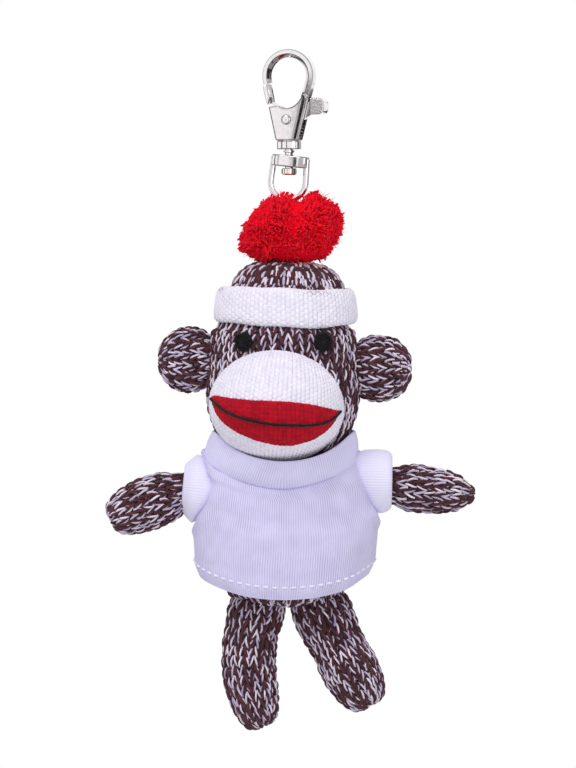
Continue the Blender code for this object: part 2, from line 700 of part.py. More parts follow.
def make_pompom(red, white):
    """Two lobes of cut yarn with a cleft between them, a bore for the thread and a notch for the ring."""
    shape = bmesh.new()
    bmesh.ops.create_uvsphere(shape, u_segments=20, v_segments=12, radius=1)
    for vert in shape.verts:
        flat = math.hypot(vert.co.x, vert.co.y)
        full = flat ** (POMPOM_FULLNESS - 1) if flat > 1e-6 else 0
        rise = max(vert.co.z, 0)
        cleft = math.exp(-((vert.co.x / POMPOM_CLEFT_WIDTH) ** 2)) * rise
        vert.co = (
            vert.co.x * full * POMPOM_WIDTH / 2 + POMPOM_SHIFT,
            vert.co.y * full * POMPOM_DEPTH / 2,
            vert.co.z * (1 - POMPOM_CLEFT_SHARE * cleft) * POMPOM_HEIGHT / 2 + POMPOM_Z,
        )
    pompom = add_object("pompom", mesh_from(shape, "pompom"), red)
    boolean(pompom, cylinder(
        "pompom_bore", (0, 0, 1), (RING_X, RING_Y, POMPOM_Z), POMPOM_BORE, POMPOM_HEIGHT * 2, sides=20
    ))
    floor_z = RING_Z - RING_WIRE / 2 - GAP
    top_z = POMPOM_TOP + OVERRUN
    slope = NOTCH_FLOOR + (top_z - RING_Z) * NOTCH_SLOPE
    outline = [(-NOTCH_FLOOR, floor_z), (NOTCH_FLOOR, floor_z), (NOTCH_FLOOR, RING_Z), (slope, top_z)]
    outline += [(-slope, top_z), (-NOTCH_FLOOR, RING_Z)]
    notch = plate("ring_notch", outline, NOTCH_LENGTH)
    notch.rotation_euler = (0, 0, HOOK_YAW + math.pi / 2)
    notch.location = (RING_X, RING_Y, 0)
    boolean(pompom, notch)
    crown_space = stuffed("crown_space", head_form(), -CROWN_WALL - 2 * GAP, None, 24, 14)
    boolean(pompom, crown_space)
    tie_z = POMPOM_Z + (TIE_PLACE_SHARE - 0.5) * POMPOM_HEIGHT
    torus("pompom_tie", (RING_X, RING_Y, tie_z), TIE_RADIUS, TIE_THREAD, white)


def make_hat(marled, white):
    """The knit crown over the top of the head, and the cuff round its rim."""
    form = head_form()
    rim_z = CROWN_TOP - CROWN_HEIGHT
    far = HEAD_WIDTH
    below = box("below_rim", (-far, -far, HEAD_BASE - far), (far, far, rim_z))
    crown = stuffed("hat_crown", form, -CROWN_WALL - GAP, marled, 24, 14)
    head_space = stuffed("head_space", form, -GAP, None, 24, 14)
    boolean(crown, head_space)
    boolean(crown, below)

    shape = bmesh.new()
    bmesh.ops.create_uvsphere(shape, u_segments=28, v_segments=14, radius=1)
    for vert in shape.verts:
        flat = math.hypot(vert.co.x, vert.co.y)
        full = flat ** (BAND_FULLNESS - 1) if flat > 1e-6 else 0
        full *= 1 - BAND_TAPER_SHARE * vert.co.z
        x = vert.co.x * full * BAND_WIDTH / 2
        z = vert.co.z * BAND_HEIGHT / 2
        vert.co = (
            x * math.cos(BAND_ROLL) + z * math.sin(BAND_ROLL) + BAND_SHIFT,
            vert.co.y * full * BAND_DEPTH / 2,
            z * math.cos(BAND_ROLL) - x * math.sin(BAND_ROLL) + rim_z - BAND_DROP,
        )
    band = add_object("hat_band", mesh_from(shape, "hat_band"), white)
    boolean(band, head_space)
    boolean(band, stuffed("crown_in_band", form, -CROWN_WALL - 2 * GAP, None, 24, 14))
    return head_space


def make_ears(skin, stuffing, marled, filling):
    """Each ear is a flat pouch that folds about the roll of seam at its root."""
    for side, sign in SIDES.items():
        hinge_x, _, ear_z = ear_hinge(side)
        half_reach = (EAR_REACHES[side] + EAR_THICK / 2) / 2
        middle = (hinge_x + sign * (EAR_REACHES[side] - half_reach), 0, ear_z)
        tall = EAR_HEIGHTS[side]
        halves = (half_reach, EAR_THICK / 2, tall / 2)
        inside = [half - EAR_WALL for half in halves]
        filled = [half - EAR_WALL - GAP for half in halves]
        clip_x = hinge_x + sign * EAR_CLIP
        far_x = hinge_x - sign * tall
        clip = box(
            "ear_clip_" + side,
            (min(clip_x, far_x), -tall, ear_z - tall),
            (max(clip_x, far_x), tall, ear_z + tall),
        )
        wall_x = clip_x + sign * EAR_WALL
        inner_clip = box(
            "ear_inner_clip_" + side,
            (min(wall_x, far_x), -tall, ear_z - tall),
            (max(wall_x, far_x), tall, ear_z + tall),
        )
        fill_x = wall_x + sign * GAP
        fill_clip = box(
            "ear_fill_clip_" + side,
            (min(fill_x, far_x), -tall, ear_z - tall),
            (max(fill_x, far_x), tall, ear_z + tall),
        )
        ear = ball("ear_" + side, middle, halves, marled, 18, 12)
        boolean(ear, clip)
        roll = cylinder(
            "ear_roll_" + side, (0, 0, 1), (hinge_x, 0, ear_z), EAR_ROLL_RADIUS, EAR_ROLL_LENGTH, sides=16
        )
        boolean(ear, roll, "UNION")
        cavity = ball("ear_cavity_" + side, middle, inside, None, 14, 8)
        boolean(cavity, inner_clip)
        boolean(ear, cavity)
        mouth_middle = hinge_x + sign * EAR_WALL
        mouth = cylinder(
            "ear_mouth_" + side, (1, 0, 0), (mouth_middle, 0, ear_z), EAR_MOUTH, EAR_CLIP * 6, sides=8
        )
        boolean(ear, mouth)
        fill = ball("ear_" + side + "_stuffing", middle, filled, filling, 14, 8)
        boolean(fill, fill_clip)
        groove = cylinder(
            "ear_groove_" + side, (0, 0, 1), (hinge_x, 0, ear_z),
            EAR_ROLL_RADIUS + GAP, EAR_ROLL_LENGTH + 2 * GAP, sides=16,
        )
        boolean(skin, groove)
        boolean(stuffing, groove)


def make_head(marled, filling):
    skin, stuffing = skin_and_stuffing(
        "head_skin", head_form(), HEAD_WALL, marled, filling, (24, 14), (16, 10)
    )
    far = HEAD_WIDTH
    boolean(skin, box("below_neck", (-far, -far, HEAD_BASE - far), (far, far, NECK_Z)))
    boolean(skin, cylinder(
        "neck_bore", (0, 0, 1), (HEAD_SHIFT, 0, NECK_Z), NECK_BORE, OVERRUN, sides=16
    ))
    return skin, stuffing


def make_eyes(felt, head_space):
    """Round felt pads, cut to lie on the head."""
    form = head_form()
    eye_z = HEAD_BASE + EYE_PLACE_SHARE * HEAD_HEIGHT
    size = girth(form, EYE_PLACE_SHARE)
    for side, sign in SIDES.items():
        across = sign * EYE_SPREAD / 2 / (form.half_width * size)
        eye_y = -form.half_depth * size * math.sqrt(1 - across**2)
        turn = math.asin(across)
        eye = ball("eye_" + side, (0, 0, 0), (EYE_RADIUS, EYE_THICK, EYE_RADIUS), felt, 14, 8)
        for vert in eye.data.vertices:
            x = vert.co.x * math.cos(turn) - vert.co.y * math.sin(turn)
            y = vert.co.x * math.sin(turn) + vert.co.y * math.cos(turn)
            vert.co = (x + HEAD_SHIFT + sign * EYE_SPREAD / 2, y + eye_y, vert.co.z + eye_z)
        boolean(eye, head_space)


def muzzle_ball(name, grow, finish=None, around=24, rings=12):
    """The muzzle's rounded mass, larger all round by grow, with its top edge rolled."""
    middle = Vector((HEAD_SHIFT + MUZZLE_SHIFT, -MUZZLE_SINK, HEAD_BASE + MUZZLE_PLACE_SHARE * HEAD_HEIGHT))
    depth = HEAD_DEPTH / 2 + MUZZLE_REACH - MUZZLE_SINK
    made = ball(name, (0, 0, 0), (MUZZLE_WIDTH / 2 + grow, depth + grow, MUZZLE_HEIGHT / 2 + grow), finish, around, rings)
    for vert in made.data.vertices:
        vert.co = middle + rolled(vert.co)
    return made


def rolled(place):
    x = place.x * math.cos(MUZZLE_ROLL) + place.z * math.sin(MUZZLE_ROLL)
    z = place.z * math.cos(MUZZLE_ROLL) - place.x * math.sin(MUZZLE_ROLL)
    return Vector((x, place.y, z))


def make_muzzle(white, filling, red, black, head_space):
    """The stuffed muzzle, the red knit band across it and the yarn that draws the mouth."""
    middle = Vector((HEAD_SHIFT + MUZZLE_SHIFT, -MUZZLE_SINK, HEAD_BASE + MUZZLE_PLACE_SHARE * HEAD_HEIGHT))
    depth = HEAD_DEPTH / 2 + MUZZLE_REACH - MUZZLE_SINK
    muzzle = muzzle_ball("muzzle", 0, white)
    boolean(muzzle, head_space)
    boolean(muzzle, muzzle_ball("muzzle_cavity", -MUZZLE_WALL, None, 16, 8))
    fill = muzzle_ball("muzzle_stuffing", -MUZZLE_WALL - GAP, filling, 16, 8)
    boolean(fill, head_space)

    lips = muzzle_ball("lips", GAP + LIPS_THICK, red)
    boolean(lips, muzzle_ball("lips_seat", GAP))
    outline = []
    for step in range(13):
        angle = step * math.pi / 12
        outline.append((-LIPS_WIDTH / 2 * math.cos(angle), -LIPS_DROP * math.sin(angle)))
    outline += [(LIPS_WIDTH / 4, LIPS_RISE / 2), (0, LIPS_RISE / 2), (-LIPS_WIDTH / 4, LIPS_RISE / 2)]
    stamp = plate("lips_stamp", outline, HEAD_DEPTH)
    for vert in stamp.data.vertices:
        vert.co = middle + Vector((0, -HEAD_DEPTH / 2, 0)) + rolled(vert.co)
    boolean(lips, stamp, "INTERSECT")
    boolean(lips, head_space)

    rise = GAP + LIPS_THICK + GAP + MOUTH_THREAD / 2
    points = []
    for step in range(17):
        across = -1 + step / 8
        x = across * (LIPS_WIDTH / 2 - MOUTH_THREAD)
        z = -MOUTH_SAG * (1 - across**2) ** 0.8
        halves = (MUZZLE_WIDTH / 2 + rise, MUZZLE_HEIGHT / 2 + rise)
        inside = max(1 - (x / halves[0]) ** 2 - (z / halves[1]) ** 2, 0)
        y = -(depth + rise) * math.sqrt(inside)
        points.append(middle + rolled(Vector((x, y, z))))
    wire("mouth_line", points, MOUTH_THREAD / 2, black, resolution=1)


def make_torso(marled, filling):
    skin, stuffing = skin_and_stuffing(
        "torso_skin", torso_form(), TORSO_WALL, marled, filling, (20, 12), (14, 8)
    )
    far = TORSO_WIDTH
    above = box("above_neck", (-far, -far, NECK_Z - GAP), (far, far, TORSO_TOP + far))
    bore = cylinder("torso_bore", (0, 0, 1), (TORSO_SHIFT, 0, NECK_Z), NECK_BORE, OVERRUN, sides=16)
    for piece in (skin, stuffing):
        boolean(piece, above)
    boolean(skin, bore)
    for side in SIDES:
        socket = ball("socket_" + side, shoulder(side), [ARM_ROOT_RADIUS + GAP] * 3, None, 16, 10)
        for piece in (skin, stuffing):
            boolean(piece, socket)
    hip_space = cylinder(
        "hip_space", (1, 0, 0), (TORSO_SHIFT + HIP_SHIFT, 0, HIP_Z), HIP_RADIUS + GAP,
        HIP_SPREAD + HIP_WIDTH + 4 * GAP, sides=24,
    )
    for piece in (skin, stuffing):
        boolean(piece, hip_space)


def make_limb(name, form, root, wall, marled, filling, heading):
    """A limb's skin with its root, the hole it was filled through, and its stuffing."""
    skin, _ = skin_and_stuffing(name, form, wall, marled, filling, (16, 10), (12, 8))
    boolean(skin, root, "UNION")
    boolean(skin, bpy.data.objects[name + "_cavity"])
    hole = cylinder(
        name + "_mouth", heading, form.root, ROOT_BORE, 2 * (HIP_RADIUS + OVERRUN), sides=10
    )
    boolean(skin, hole)
    skin.modifiers.remove(skin.modifiers[0])


def make_arms(marled, filling):
    for side in SIDES:
        pivot = shoulder(side)
        heading = arm_heading(side)
        tip = pivot + heading * ARM_LENGTHS[side]
        bend = (pivot + tip) / 2 + Vector((0, 0, ARM_SAG))
        form = Form(pivot, bend, tip, ARM_THICK / 2, ARM_THICK / 2, LIMB_FULLNESS, ARM_SHARES)
        root = ball("arm_root_" + side, pivot, [ARM_ROOT_RADIUS] * 3, None, 16, 10)
        make_limb("arm_" + side, form, root, LIMB_WALL, marled, filling, heading)


def make_legs(marled, filling):
    for side in SIDES:
        pivot = hip(side)
        tip = pivot + Vector((LEG_LEANS[side], -FOOT_FORWARD, -LEG_LENGTHS[side]))
        bend = (pivot + tip) / 2 + Vector((LEG_BENDS[side], 0, 0))
        form = Form(pivot, bend, tip, LEG_THICK / 2, LEG_DEPTH / 2, LIMB_FULLNESS, LEG_SHARES)
        root = cylinder("leg_root_" + side, (1, 0, 0), pivot, HIP_RADIUS, HIP_WIDTH, sides=20)
        add_bevel(root, HIP_EDGE)
        heading = (bend - pivot).normalized()
        make_limb("leg_" + side, form, root, LIMB_WALL, marled, filling, heading)


def seam_height(front):
    """The collar seam's height: front is -1 at the chest and 1 at the back."""
    rise = SEAM_RISE if front < 0 else SEAM_BACK_RISE
    return NECK_Z - SEAM_DROP + rise * front


def hem_height(front):
    return HEM_Z - HEM_DIP * abs(front) ** 1.5


def shirt_point(angle, along, grow=0.0):
    """A point of the shirt's outside at this angle and share of the way from seam to hem."""
    front = math.sin(angle)
    top, bottom = seam_height(front), hem_height(front)
    z = top + (bottom - top) * along
    size = share_at(SHIRT_SHARES, along)
    x = (SHIRT_WIDTH / 2 * size + grow) * math.cos(angle)
    y = (SHIRT_DEPTH / 2 * size + grow) * front
    return Vector((SHIRT_SHIFT + x, y, z))


def open_sleeve(name, rows, around, wall, finish):
    """A tube of cloth: an open grid bent to the rows, given its thickness inwards."""
    shape = bmesh.new()
    bmesh.ops.create_cone(
        shape, cap_ends=False, segments=around, radius1=1, radius2=1, depth=1
    )
    upright = [edge for edge in shape.edges if abs(edge.verts[0].co.z - edge.verts[1].co.z) > 0.5]
    bmesh.ops.subdivide_edges(shape, edges=upright, cuts=len(rows) - 2, use_grid_fill=True)
    for vert in shape.verts:
        angle = math.atan2(vert.co.y, vert.co.x)
        row = rows[round((0.5 - vert.co.z) * (len(rows) - 1))]
        vert.co = row(angle)
    made = add_object(name, mesh_from(shape, name), finish)
    cloth = made.modifiers.new("cloth", "SOLIDIFY")
    cloth.thickness = wall
    cloth.offset = -1
    return made


def make_shirt(jersey, rib):
    """The shirt's body from collar seam to hem, its collar, sleeves and hem thread."""
    steps = 9
    rows = [lambda angle, share=i / steps: shirt_point(angle, share) for i in range(steps + 1)]
    body = open_sleeve("shirt_body", rows, 32, SHIRT_WALL, jersey)

    def collar_row(share):
        def place(angle):
            front = math.sin(angle)
            low = shirt_point(angle, 0, 0)
            low.z += GAP
            rise = COLLAR_TOP_RISE if front < 0 else SEAM_BACK_RISE
            top_z = NECK_Z - COLLAR_TOP_DROP + rise * front
            high = Vector((
                HEAD_SHIFT + (COLLAR_TOP_WIDTH / 2 + COLLAR_BAND) * math.cos(angle),
                (COLLAR_TOP_DEPTH / 2 + COLLAR_BAND) * front,
                top_z,
            ))
            flared = low.lerp(high, share**COLLAR_FLARE_SHARE)
            return Vector((flared.x, flared.y, low.z + (high.z - low.z) * share))
        return place

    collar_rows = [collar_row(share) for share in (1, 0.5, 0)]
    collar = open_sleeve("shirt_collar", collar_rows, 28, COLLAR_BAND, rib)
    turned_head = head_form()._replace(half_depth=(HEAD_WIDTH + HEAD_DEPTH) / 4)
    boolean(collar, stuffed("neck_space", turned_head, -GAP, None, 24, 14))
    torso_space = stuffed("torso_space", torso_form(), -GAP)

    for side in SIDES:
        pivot, heading = shoulder(side), arm_heading(side)
        start = pivot + heading * SLEEVE_START
        cuff = start + heading * SLEEVE_LENGTH
        run = heading * OVERRUN
        flare = (SLEEVE_RADIUS - CUFF_RADIUS) * OVERRUN / SLEEVE_LENGTH
        wide, narrow = SLEEVE_RADIUS + flare, CUFF_RADIUS - flare
        sleeve = cone_between("sleeve_" + side, start, SLEEVE_RADIUS, cuff, CUFF_RADIUS, jersey)
        boolean(sleeve, cone_between(
            "sleeve_bore_" + side, start - run, wide - SLEEVE_WALL, cuff + run, narrow - SLEEVE_WALL
        ))
        boolean(sleeve, torso_space)
        boolean(body, cone_between(
            "armhole_" + side, start - run, wide + GAP, cuff + run, narrow + GAP
        ))

    points = []
    for step in range(40):
        angle = step * math.tau / 40
        front = math.sin(angle)
        height = seam_height(front) - hem_height(front)
        points.append(shirt_point(angle, 1 - HEM_MARGIN / height, GAP + HEM_THREAD / 2))
    wire("hem_stitching", points, HEM_THREAD / 2, jersey, closed=True, resolution=0)


def cone_between(name, start, start_radius, end, end_radius, finish=None, sides=24):
    shape = bmesh.new()
    bmesh.ops.create_cone(
        shape, cap_ends=True, segments=sides, radius1=start_radius, radius2=end_radius,
        depth=(end - start).length,
    )
    turn = Vector((0, 0, 1)).rotation_difference(end - start)
    spin = Matrix.Rotation(FACET_SHARE * math.tau / sides, 3, "Z")
    for vert in shape.verts:
        vert.co = turn @ (spin @ vert.co) + (start + end) / 2
    return add_object(name, mesh_from(shape, name), finish)


def hang_bodies():
    """Hangs each moving body's pieces from an empty that stands on its joint's axis."""
    head = ["hanging_loop", "pompom", "pompom_tie", "hat_crown", "hat_band", "head_skin"]
    head += ["head_stuffing", "eye_left", "eye_right", "muzzle", "muzzle_stuffing", "lips"]
    torso = ["torso_skin", "torso_stuffing", "shirt_body", "shirt_collar", "hem_stitching"]
    frames = {
        "gate_frame": ("hook_frame", (0, 0, RIVET_Z), ["gate_lever"]),
        "head_frame": ("ring_frame", (RING_X, RING_Y, RING_Z), head + ["mouth_line"]),
        "torso_frame": ("head_frame", (HEAD_SHIFT, 0, NECK_Z), torso),
    }
    for side in SIDES:
        ear, arm, leg = "ear_" + side, "arm_" + side, "leg_" + side
        frames[ear + "_frame"] = ("head_frame", ear_hinge(side), [ear, ear + "_stuffing"])
        pieces = [arm, arm + "_stuffing", "sleeve_" + side]
        frames[arm + "_frame"] = ("torso_frame", shoulder(side), pieces)
        frames[leg + "_frame"] = ("torso_frame", hip(side), [leg, leg + "_stuffing"])
    for name, (_, place, _) in frames.items():
        add_empty(name, place, (0, 0, 0))
    bpy.context.view_layer.update()
    places = {thing.name: thing.matrix_world.copy() for thing in bpy.data.objects}
    for name, (carrier, _, pieces) in frames.items():
        for parent, child in [(carrier, name)] + [(name, piece) for piece in pieces]:
            thing = bpy.data.objects[child]
            thing.parent = bpy.data.objects[parent]
            offset = places[child] @ thing.matrix_basis.inverted()
            thing.matrix_parent_inverse = places[parent].inverted() @ offset


def main():
    start_scene()
    chrome = material("polished_chrome", (0.72, 0.72, 0.74), 0.12, 1.0)
    steel = material("spring_steel", (0.5, 0.5, 0.52), 0.3, 1.0)
    marled = material("marled_knit", (0.16, 0.11, 0.14), 0.95)
    white = material("white_knit", (0.80, 0.77, 0.88), 0.95)
    jersey = material("white_jersey", (0.62, 0.59, 0.82), 0.9)
    red = material("red_yarn", (0.52, 0.005, 0.014), 0.9)
    black = material("black_yarn", (0.016, 0.014, 0.02), 0.9)
    filling = material("fibre_filling", (0.85, 0.84, 0.82), 1.0)
    frame = add_empty("hook_frame", (0, 0, 0), (0, 0, HOOK_YAW))

    make_hook(chrome, frame)
    make_lever(chrome, frame)
    make_rivet(chrome, frame)
    make_spring(steel, frame)
    make_swivel_pin(chrome)
    make_ring(chrome)
    make_hanging_loop(white)
    make_pompom(red, white)
    skin, stuffing = make_head(marled, filling)
    head_space = make_hat(marled, white)
    make_ears(skin, stuffing, marled, filling)
    make_eyes(black, head_space)
    make_muzzle(white, filling, red, black, head_space)
    make_torso(marled, filling)
    make_arms(marled, filling)
    make_legs(marled, filling)
    make_shirt(jersey, jersey)
    hang_bodies()


main()
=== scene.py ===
"""The look of a sock monkey doll on a snap hook, built round its packed solids."""

import math
from collections import namedtuple

import bmesh
import bpy
import numpy as np
from mathutils import Matrix, Vector


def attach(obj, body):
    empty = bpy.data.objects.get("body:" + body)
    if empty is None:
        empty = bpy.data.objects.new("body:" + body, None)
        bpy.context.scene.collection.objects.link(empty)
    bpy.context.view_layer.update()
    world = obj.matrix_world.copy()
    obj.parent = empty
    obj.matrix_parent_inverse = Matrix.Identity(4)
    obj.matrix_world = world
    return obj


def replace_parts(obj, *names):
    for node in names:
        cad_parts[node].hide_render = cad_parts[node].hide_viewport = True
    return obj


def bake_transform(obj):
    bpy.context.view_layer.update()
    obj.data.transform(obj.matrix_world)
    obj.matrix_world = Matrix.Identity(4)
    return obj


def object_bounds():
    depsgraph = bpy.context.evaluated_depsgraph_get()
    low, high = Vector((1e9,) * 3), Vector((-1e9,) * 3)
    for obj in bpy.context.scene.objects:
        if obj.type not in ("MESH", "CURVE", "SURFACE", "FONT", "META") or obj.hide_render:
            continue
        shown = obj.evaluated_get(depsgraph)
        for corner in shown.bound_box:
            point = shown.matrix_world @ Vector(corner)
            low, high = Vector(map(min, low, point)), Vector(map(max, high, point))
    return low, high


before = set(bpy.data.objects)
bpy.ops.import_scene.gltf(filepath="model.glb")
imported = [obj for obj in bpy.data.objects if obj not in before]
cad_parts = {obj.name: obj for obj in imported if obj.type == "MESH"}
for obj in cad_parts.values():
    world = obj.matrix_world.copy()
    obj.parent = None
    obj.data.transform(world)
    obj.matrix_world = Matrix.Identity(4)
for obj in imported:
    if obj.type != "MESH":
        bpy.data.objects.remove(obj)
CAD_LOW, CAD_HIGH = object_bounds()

bl_info = {
    "name": "Sock monkey doll",
    "version": (1, 0, 0),
    "blender": (4, 5, 0),
    "location": "3D View > Sidebar > Sock Monkey",
    "description": "Dresses the solids of a sock monkey doll in knit, jersey, yarn and cast metal",
    "category": "Add Mesh",
}

MM = 0.001
MICRON = 1e-6

# Places of the solids, in mm from the inner crown of the hook's eye
HOOK_YAW = math.radians(-17)
HOUSING_TOP = -12.8
HOUSING_BASE = -20.9
COLLAR_BASE = -23.1
RIVET_Z = -15.7
STRAP_Z = -26.0
RING_ROLL = math.radians(6)
RING_AT = (-0.177, 0.054, -35.709)
PIN_HEAD_TOP = -27.8
POMPOM_AT = (0.6, 0.0, -42.709)
POMPOM_HALVES = (12.7, 12.0, 9.0)
CROWN_TOP = -51.109
HEAD_X = -1.5
HEAD_TOP = -52.609
HEAD_BASE = -101.809
HEAD_HALVES = (19.3, 17.0)
NECK_Z = -101.409
RIM_Z = -62.509
EAR_MIDDLES = {"left": -75.6, "right": -77.8}
EAR_X = {"left": -21.314, "right": 18.314}
EAR_REACHES = {"left": 11.6, "right": 12.6}
EAR_HEIGHTS = {"left": 16.6, "right": 16.9}
EAR_THICK = 8.6
EYE_Z = -71.305
MUZZLE_AT = (-3.1, -8.0, -87.295)
MUZZLE_HALVES = (16.7, 17.0, 13.8)
MUZZLE_ROLL = math.radians(5)
# How far the muzzle's cloth reaches round its dome, as an angle from its front
MUZZLE_REACH = 1.95
TORSO_X = -0.9
TORSO_TOP = -101.009
TORSO_BASE = -137.509
SHIRT_HALVES = (22.9, 15.0)
# How boxy the shirt is seen from above, where 1 is round
SHIRT_BOX = 0.82
SIDES = {"left": -1, "right": 1}

# Girth along each form as (share of its length, share of its half width)
HEAD_SHARES = (
    (0, 0.90), (0.1, 0.975), (0.18, 1.017), (0.28, 1.03), (0.38, 1.014), (0.5, 0.98),
    (0.63, 0.97), (0.67, 0.965), (0.71, 0.885), (0.8, 0.85), (0.89, 0.858), (1, 0.89),
)
TORSO_SHARES = ((0, 0.7), (0.08, 0.88), (0.2, 0.98), (0.6, 1.0), (0.8, 1.05), (1, 1.1))
EAR_SHARES = ((0, 1.0), (1, 1.0))
SHIRT_SHARES = (
    (0, 0.845), (0.035, 0.885), (0.08, 0.908), (0.3, 0.95), (0.5, 1.0), (0.7, 1.0), (0.86, 0.985), (1, 0.93),
)
# Where the shirt's middle lies across, in mm, at each share of its height
SHIRT_MIDDLES = ((0, -1.9), (0.05, -1.5), (0.14, -0.6), (0.5, -0.6), (0.8, -1.0), (1, -1.3))

# Each limb's spine as a start, a bend and a tip, then its half width and girths
ARMS = {
    "left": (
        ((-19.2, 0, -107.3), (-30.5, 0, -108.6), (-44.7, 0, -116.0)), 6.95,
        ((0, 0.6), (0.18, 0.66), (0.3, 0.74), (0.5, 0.94), (0.7, 1.0), (1, 1.0)),
    ),
    "right": (
        ((18.2, 0, -106.2), (31.0, 0, -107.9), (46.6, 0, -109.4)), 6.05,
        ((0, 0.72), (0.27, 0.8), (0.47, 1.0), (0.72, 0.98), (0.86, 0.9), (0.95, 0.68), (1, 0.55)),
    ),
}
LEGS = {
    "left": (
        ((-4.5, 0, -130.4), (-14.7, -0.4, -149.0), (-6.1, -1.6, -167.3)), 6.95,
        ((0, 1.16), (0.22, 1.14), (0.36, 1.0), (0.5, 0.97), (0.8, 1.02), (1, 1.02)),
    ),
    "right": (
        ((4.7, 0, -130.4), (11.2, -0.4, -146.6), (20.5, -1.6, -162.2)), 7.25,
        ((0, 1.18), (0.25, 1.12), (0.5, 0.96), (0.75, 1.07), (1, 1.08)),
    ),
}

# Each sleeve's middle, its droop, and its outline as distances along the arm and out from it, in mm
SLEEVES = {
    "left": (
        (-19.19, 0.0, -108.1), math.radians(-5.3),
        ((0.8, 7.7), (1.3, 8.1), (2.1, 8.45), (3.2, 8.6), (4.4, 8.35), (5.5, 7.7), (6.4, 6.8), (7.1, 6.1),
         (7.5, 5.5), (7.3, 5.1), (6.0, 5.0), (3.0, 5.3)),
    ),
    "right": (
        (18.24, 0.0, -106.05), math.radians(1.0),
        ((1.7, 7.2), (2.2, 7.7), (3.0, 8.0), (4.2, 8.05), (5.6, 7.85), (6.6, 7.5), (7.3, 6.9), (7.6, 6.2),
         (7.4, 5.7), (6.3, 5.4), (3.0, 5.6)),
    ),
}

Form = namedtuple("Form", "root bend tip half_width half_depth fullness shares")
Sheet = namedtuple("Sheet", "points normals girths length closed")
Stitches = namedtuple("Stitches", "u v wide tall turn")
Yarn = namedtuple("Yarn", "plies radii ends twist turns foot spread reach crest sinks flat sides cuts stagger")

# A stitch is two legs. Lengths are in mm, and foot, spread, reach and stagger are shares of the stitch.
# ends is how thick a leg's ends are beside its middle.
MARLED = Yarn(2, (0.42, 0.29), 0.8, 0.31, 0.45, 0.04, 0.45, (-0.24, 1.16), -0.38, (0.25, 0.8), 0.85, 6, 6, 0.0)
PALE_MARLED = MARLED._replace(radii=(0.38, 0.35))
DARK_MARLED = MARLED._replace(radii=(0.44, 0.27))
WHITE_RIB = Yarn(1, (0.72,), 0.66, 0.0, 0.0, 0.21, 0.29, (-0.22, 1.15), -0.3, (0.21, 0.27), 0.4, 7, 5, 0.5)
RED_RIB = WHITE_RIB._replace(ends=0.85, reach=(-0.3, 1.2), crest=-0.35, stagger=0.0)
# Share of a leg's length at which it stands out furthest
STITCH_PEAK = 0.42


def linear(colour):
    """A colour given in display values from 0 to 255, as the renderer's own."""
    shares = [c / 255 for c in colour]
    return tuple(s / 12.92 if s <= 0.04045 else ((s + 0.055) / 1.055) ** 2.4 for s in shares)


# Surfaces


def paired(u, v):
    """Both as arrays of numbers of one common shape."""
    return np.broadcast_arrays(np.asarray(u, float), np.asarray(v, float))


def squared(angle, share):
    """Cosine and sine of a rounded box instead of a circle, the boxier the smaller the share."""
    across, front = np.cos(angle), np.sin(angle)
    return np.sign(across) * np.abs(across) ** share, np.sign(front) * np.abs(front) ** share


def turned(x, z, angle):
    """The place (x, z) turned by an angle in the XZ plane."""
    return x * math.cos(angle) - z * math.sin(angle), z * math.cos(angle) + x * math.sin(angle)


def run_along(points):
    """How far along a line each of its points lies."""
    return np.concatenate([[0], np.cumsum(np.linalg.norm(np.diff(points, axis=0), axis=1))])


def resampled(points, count):
    """The line again as count points at even steps along it."""
    points = np.array(points, float)
    run = run_along(points)
    along = np.linspace(0, run[-1], count)
    return np.stack([np.interp(along, run, column) for column in points.T], axis=1)


def smoothed(points, passes):
    line = np.array(points, float)
    for _ in range(passes):
        line[1:-1] = line[1:-1] / 2 + (line[:-2] + line[2:]) / 4
    return line


def share_at(shares, along):
    """The table's value at each share of the length, eased between its rows."""
    starts = np.array([start for start, _ in shares])
    values = np.array([value for _, value in shares])
    index = np.clip(np.searchsorted(starts, along, side="left") - 1, 0, len(starts) - 2)
    step = np.clip((along - starts[index]) / (starts[index + 1] - starts[index]), 0, 1)
    return values[index] + (values[index + 1] - values[index]) * step * step * (3 - 2 * step)


def form_surface(form, grow=0.0):
    """The outside of a stuffed form, as a function of the share round it and along it. u 0 is its back."""
    root, bend, tip = (np.array(p, float) for p in (form.root, form.bend, form.tip))

    def place(u, v):
        u, v = paired(u, v)
        along = np.clip(v, 1e-5, 1 - 1e-5)
        size = (2 * np.sqrt(along * (1 - along))) ** form.fullness * share_at(form.shares, along)
        trim = -grow / np.linalg.norm(tip - root)
        t = (trim + along * (1 - 2 * trim))[..., None]
        spine = root * (1 - t) ** 2 + bend * 2 * t * (1 - t) + tip * t**2
        heading = (bend - root) * (1 - t) + (tip - bend) * t
        heading /= np.linalg.norm(heading, axis=-1, keepdims=True)
        front = np.array([0.0, 1.0, 0.0]) - heading * heading[..., 1:2]
        front /= np.linalg.norm(front, axis=-1, keepdims=True)
        side = np.cross(front, heading)
        angle = math.pi / 2 + u * math.tau
        width = ((form.half_width + grow) * size * np.cos(angle))[..., None]
        depth = ((form.half_depth + grow) * size * np.sin(angle))[..., None]
        return spine + side * width + front * depth

    return place


def even_out(shares, steps):
    """The shares again, moved so that the steps between them come out equally long."""
    run = np.concatenate([[0], np.cumsum(steps)])
    return np.interp(np.linspace(0, 1, len(shares)), run / run[-1], shares)


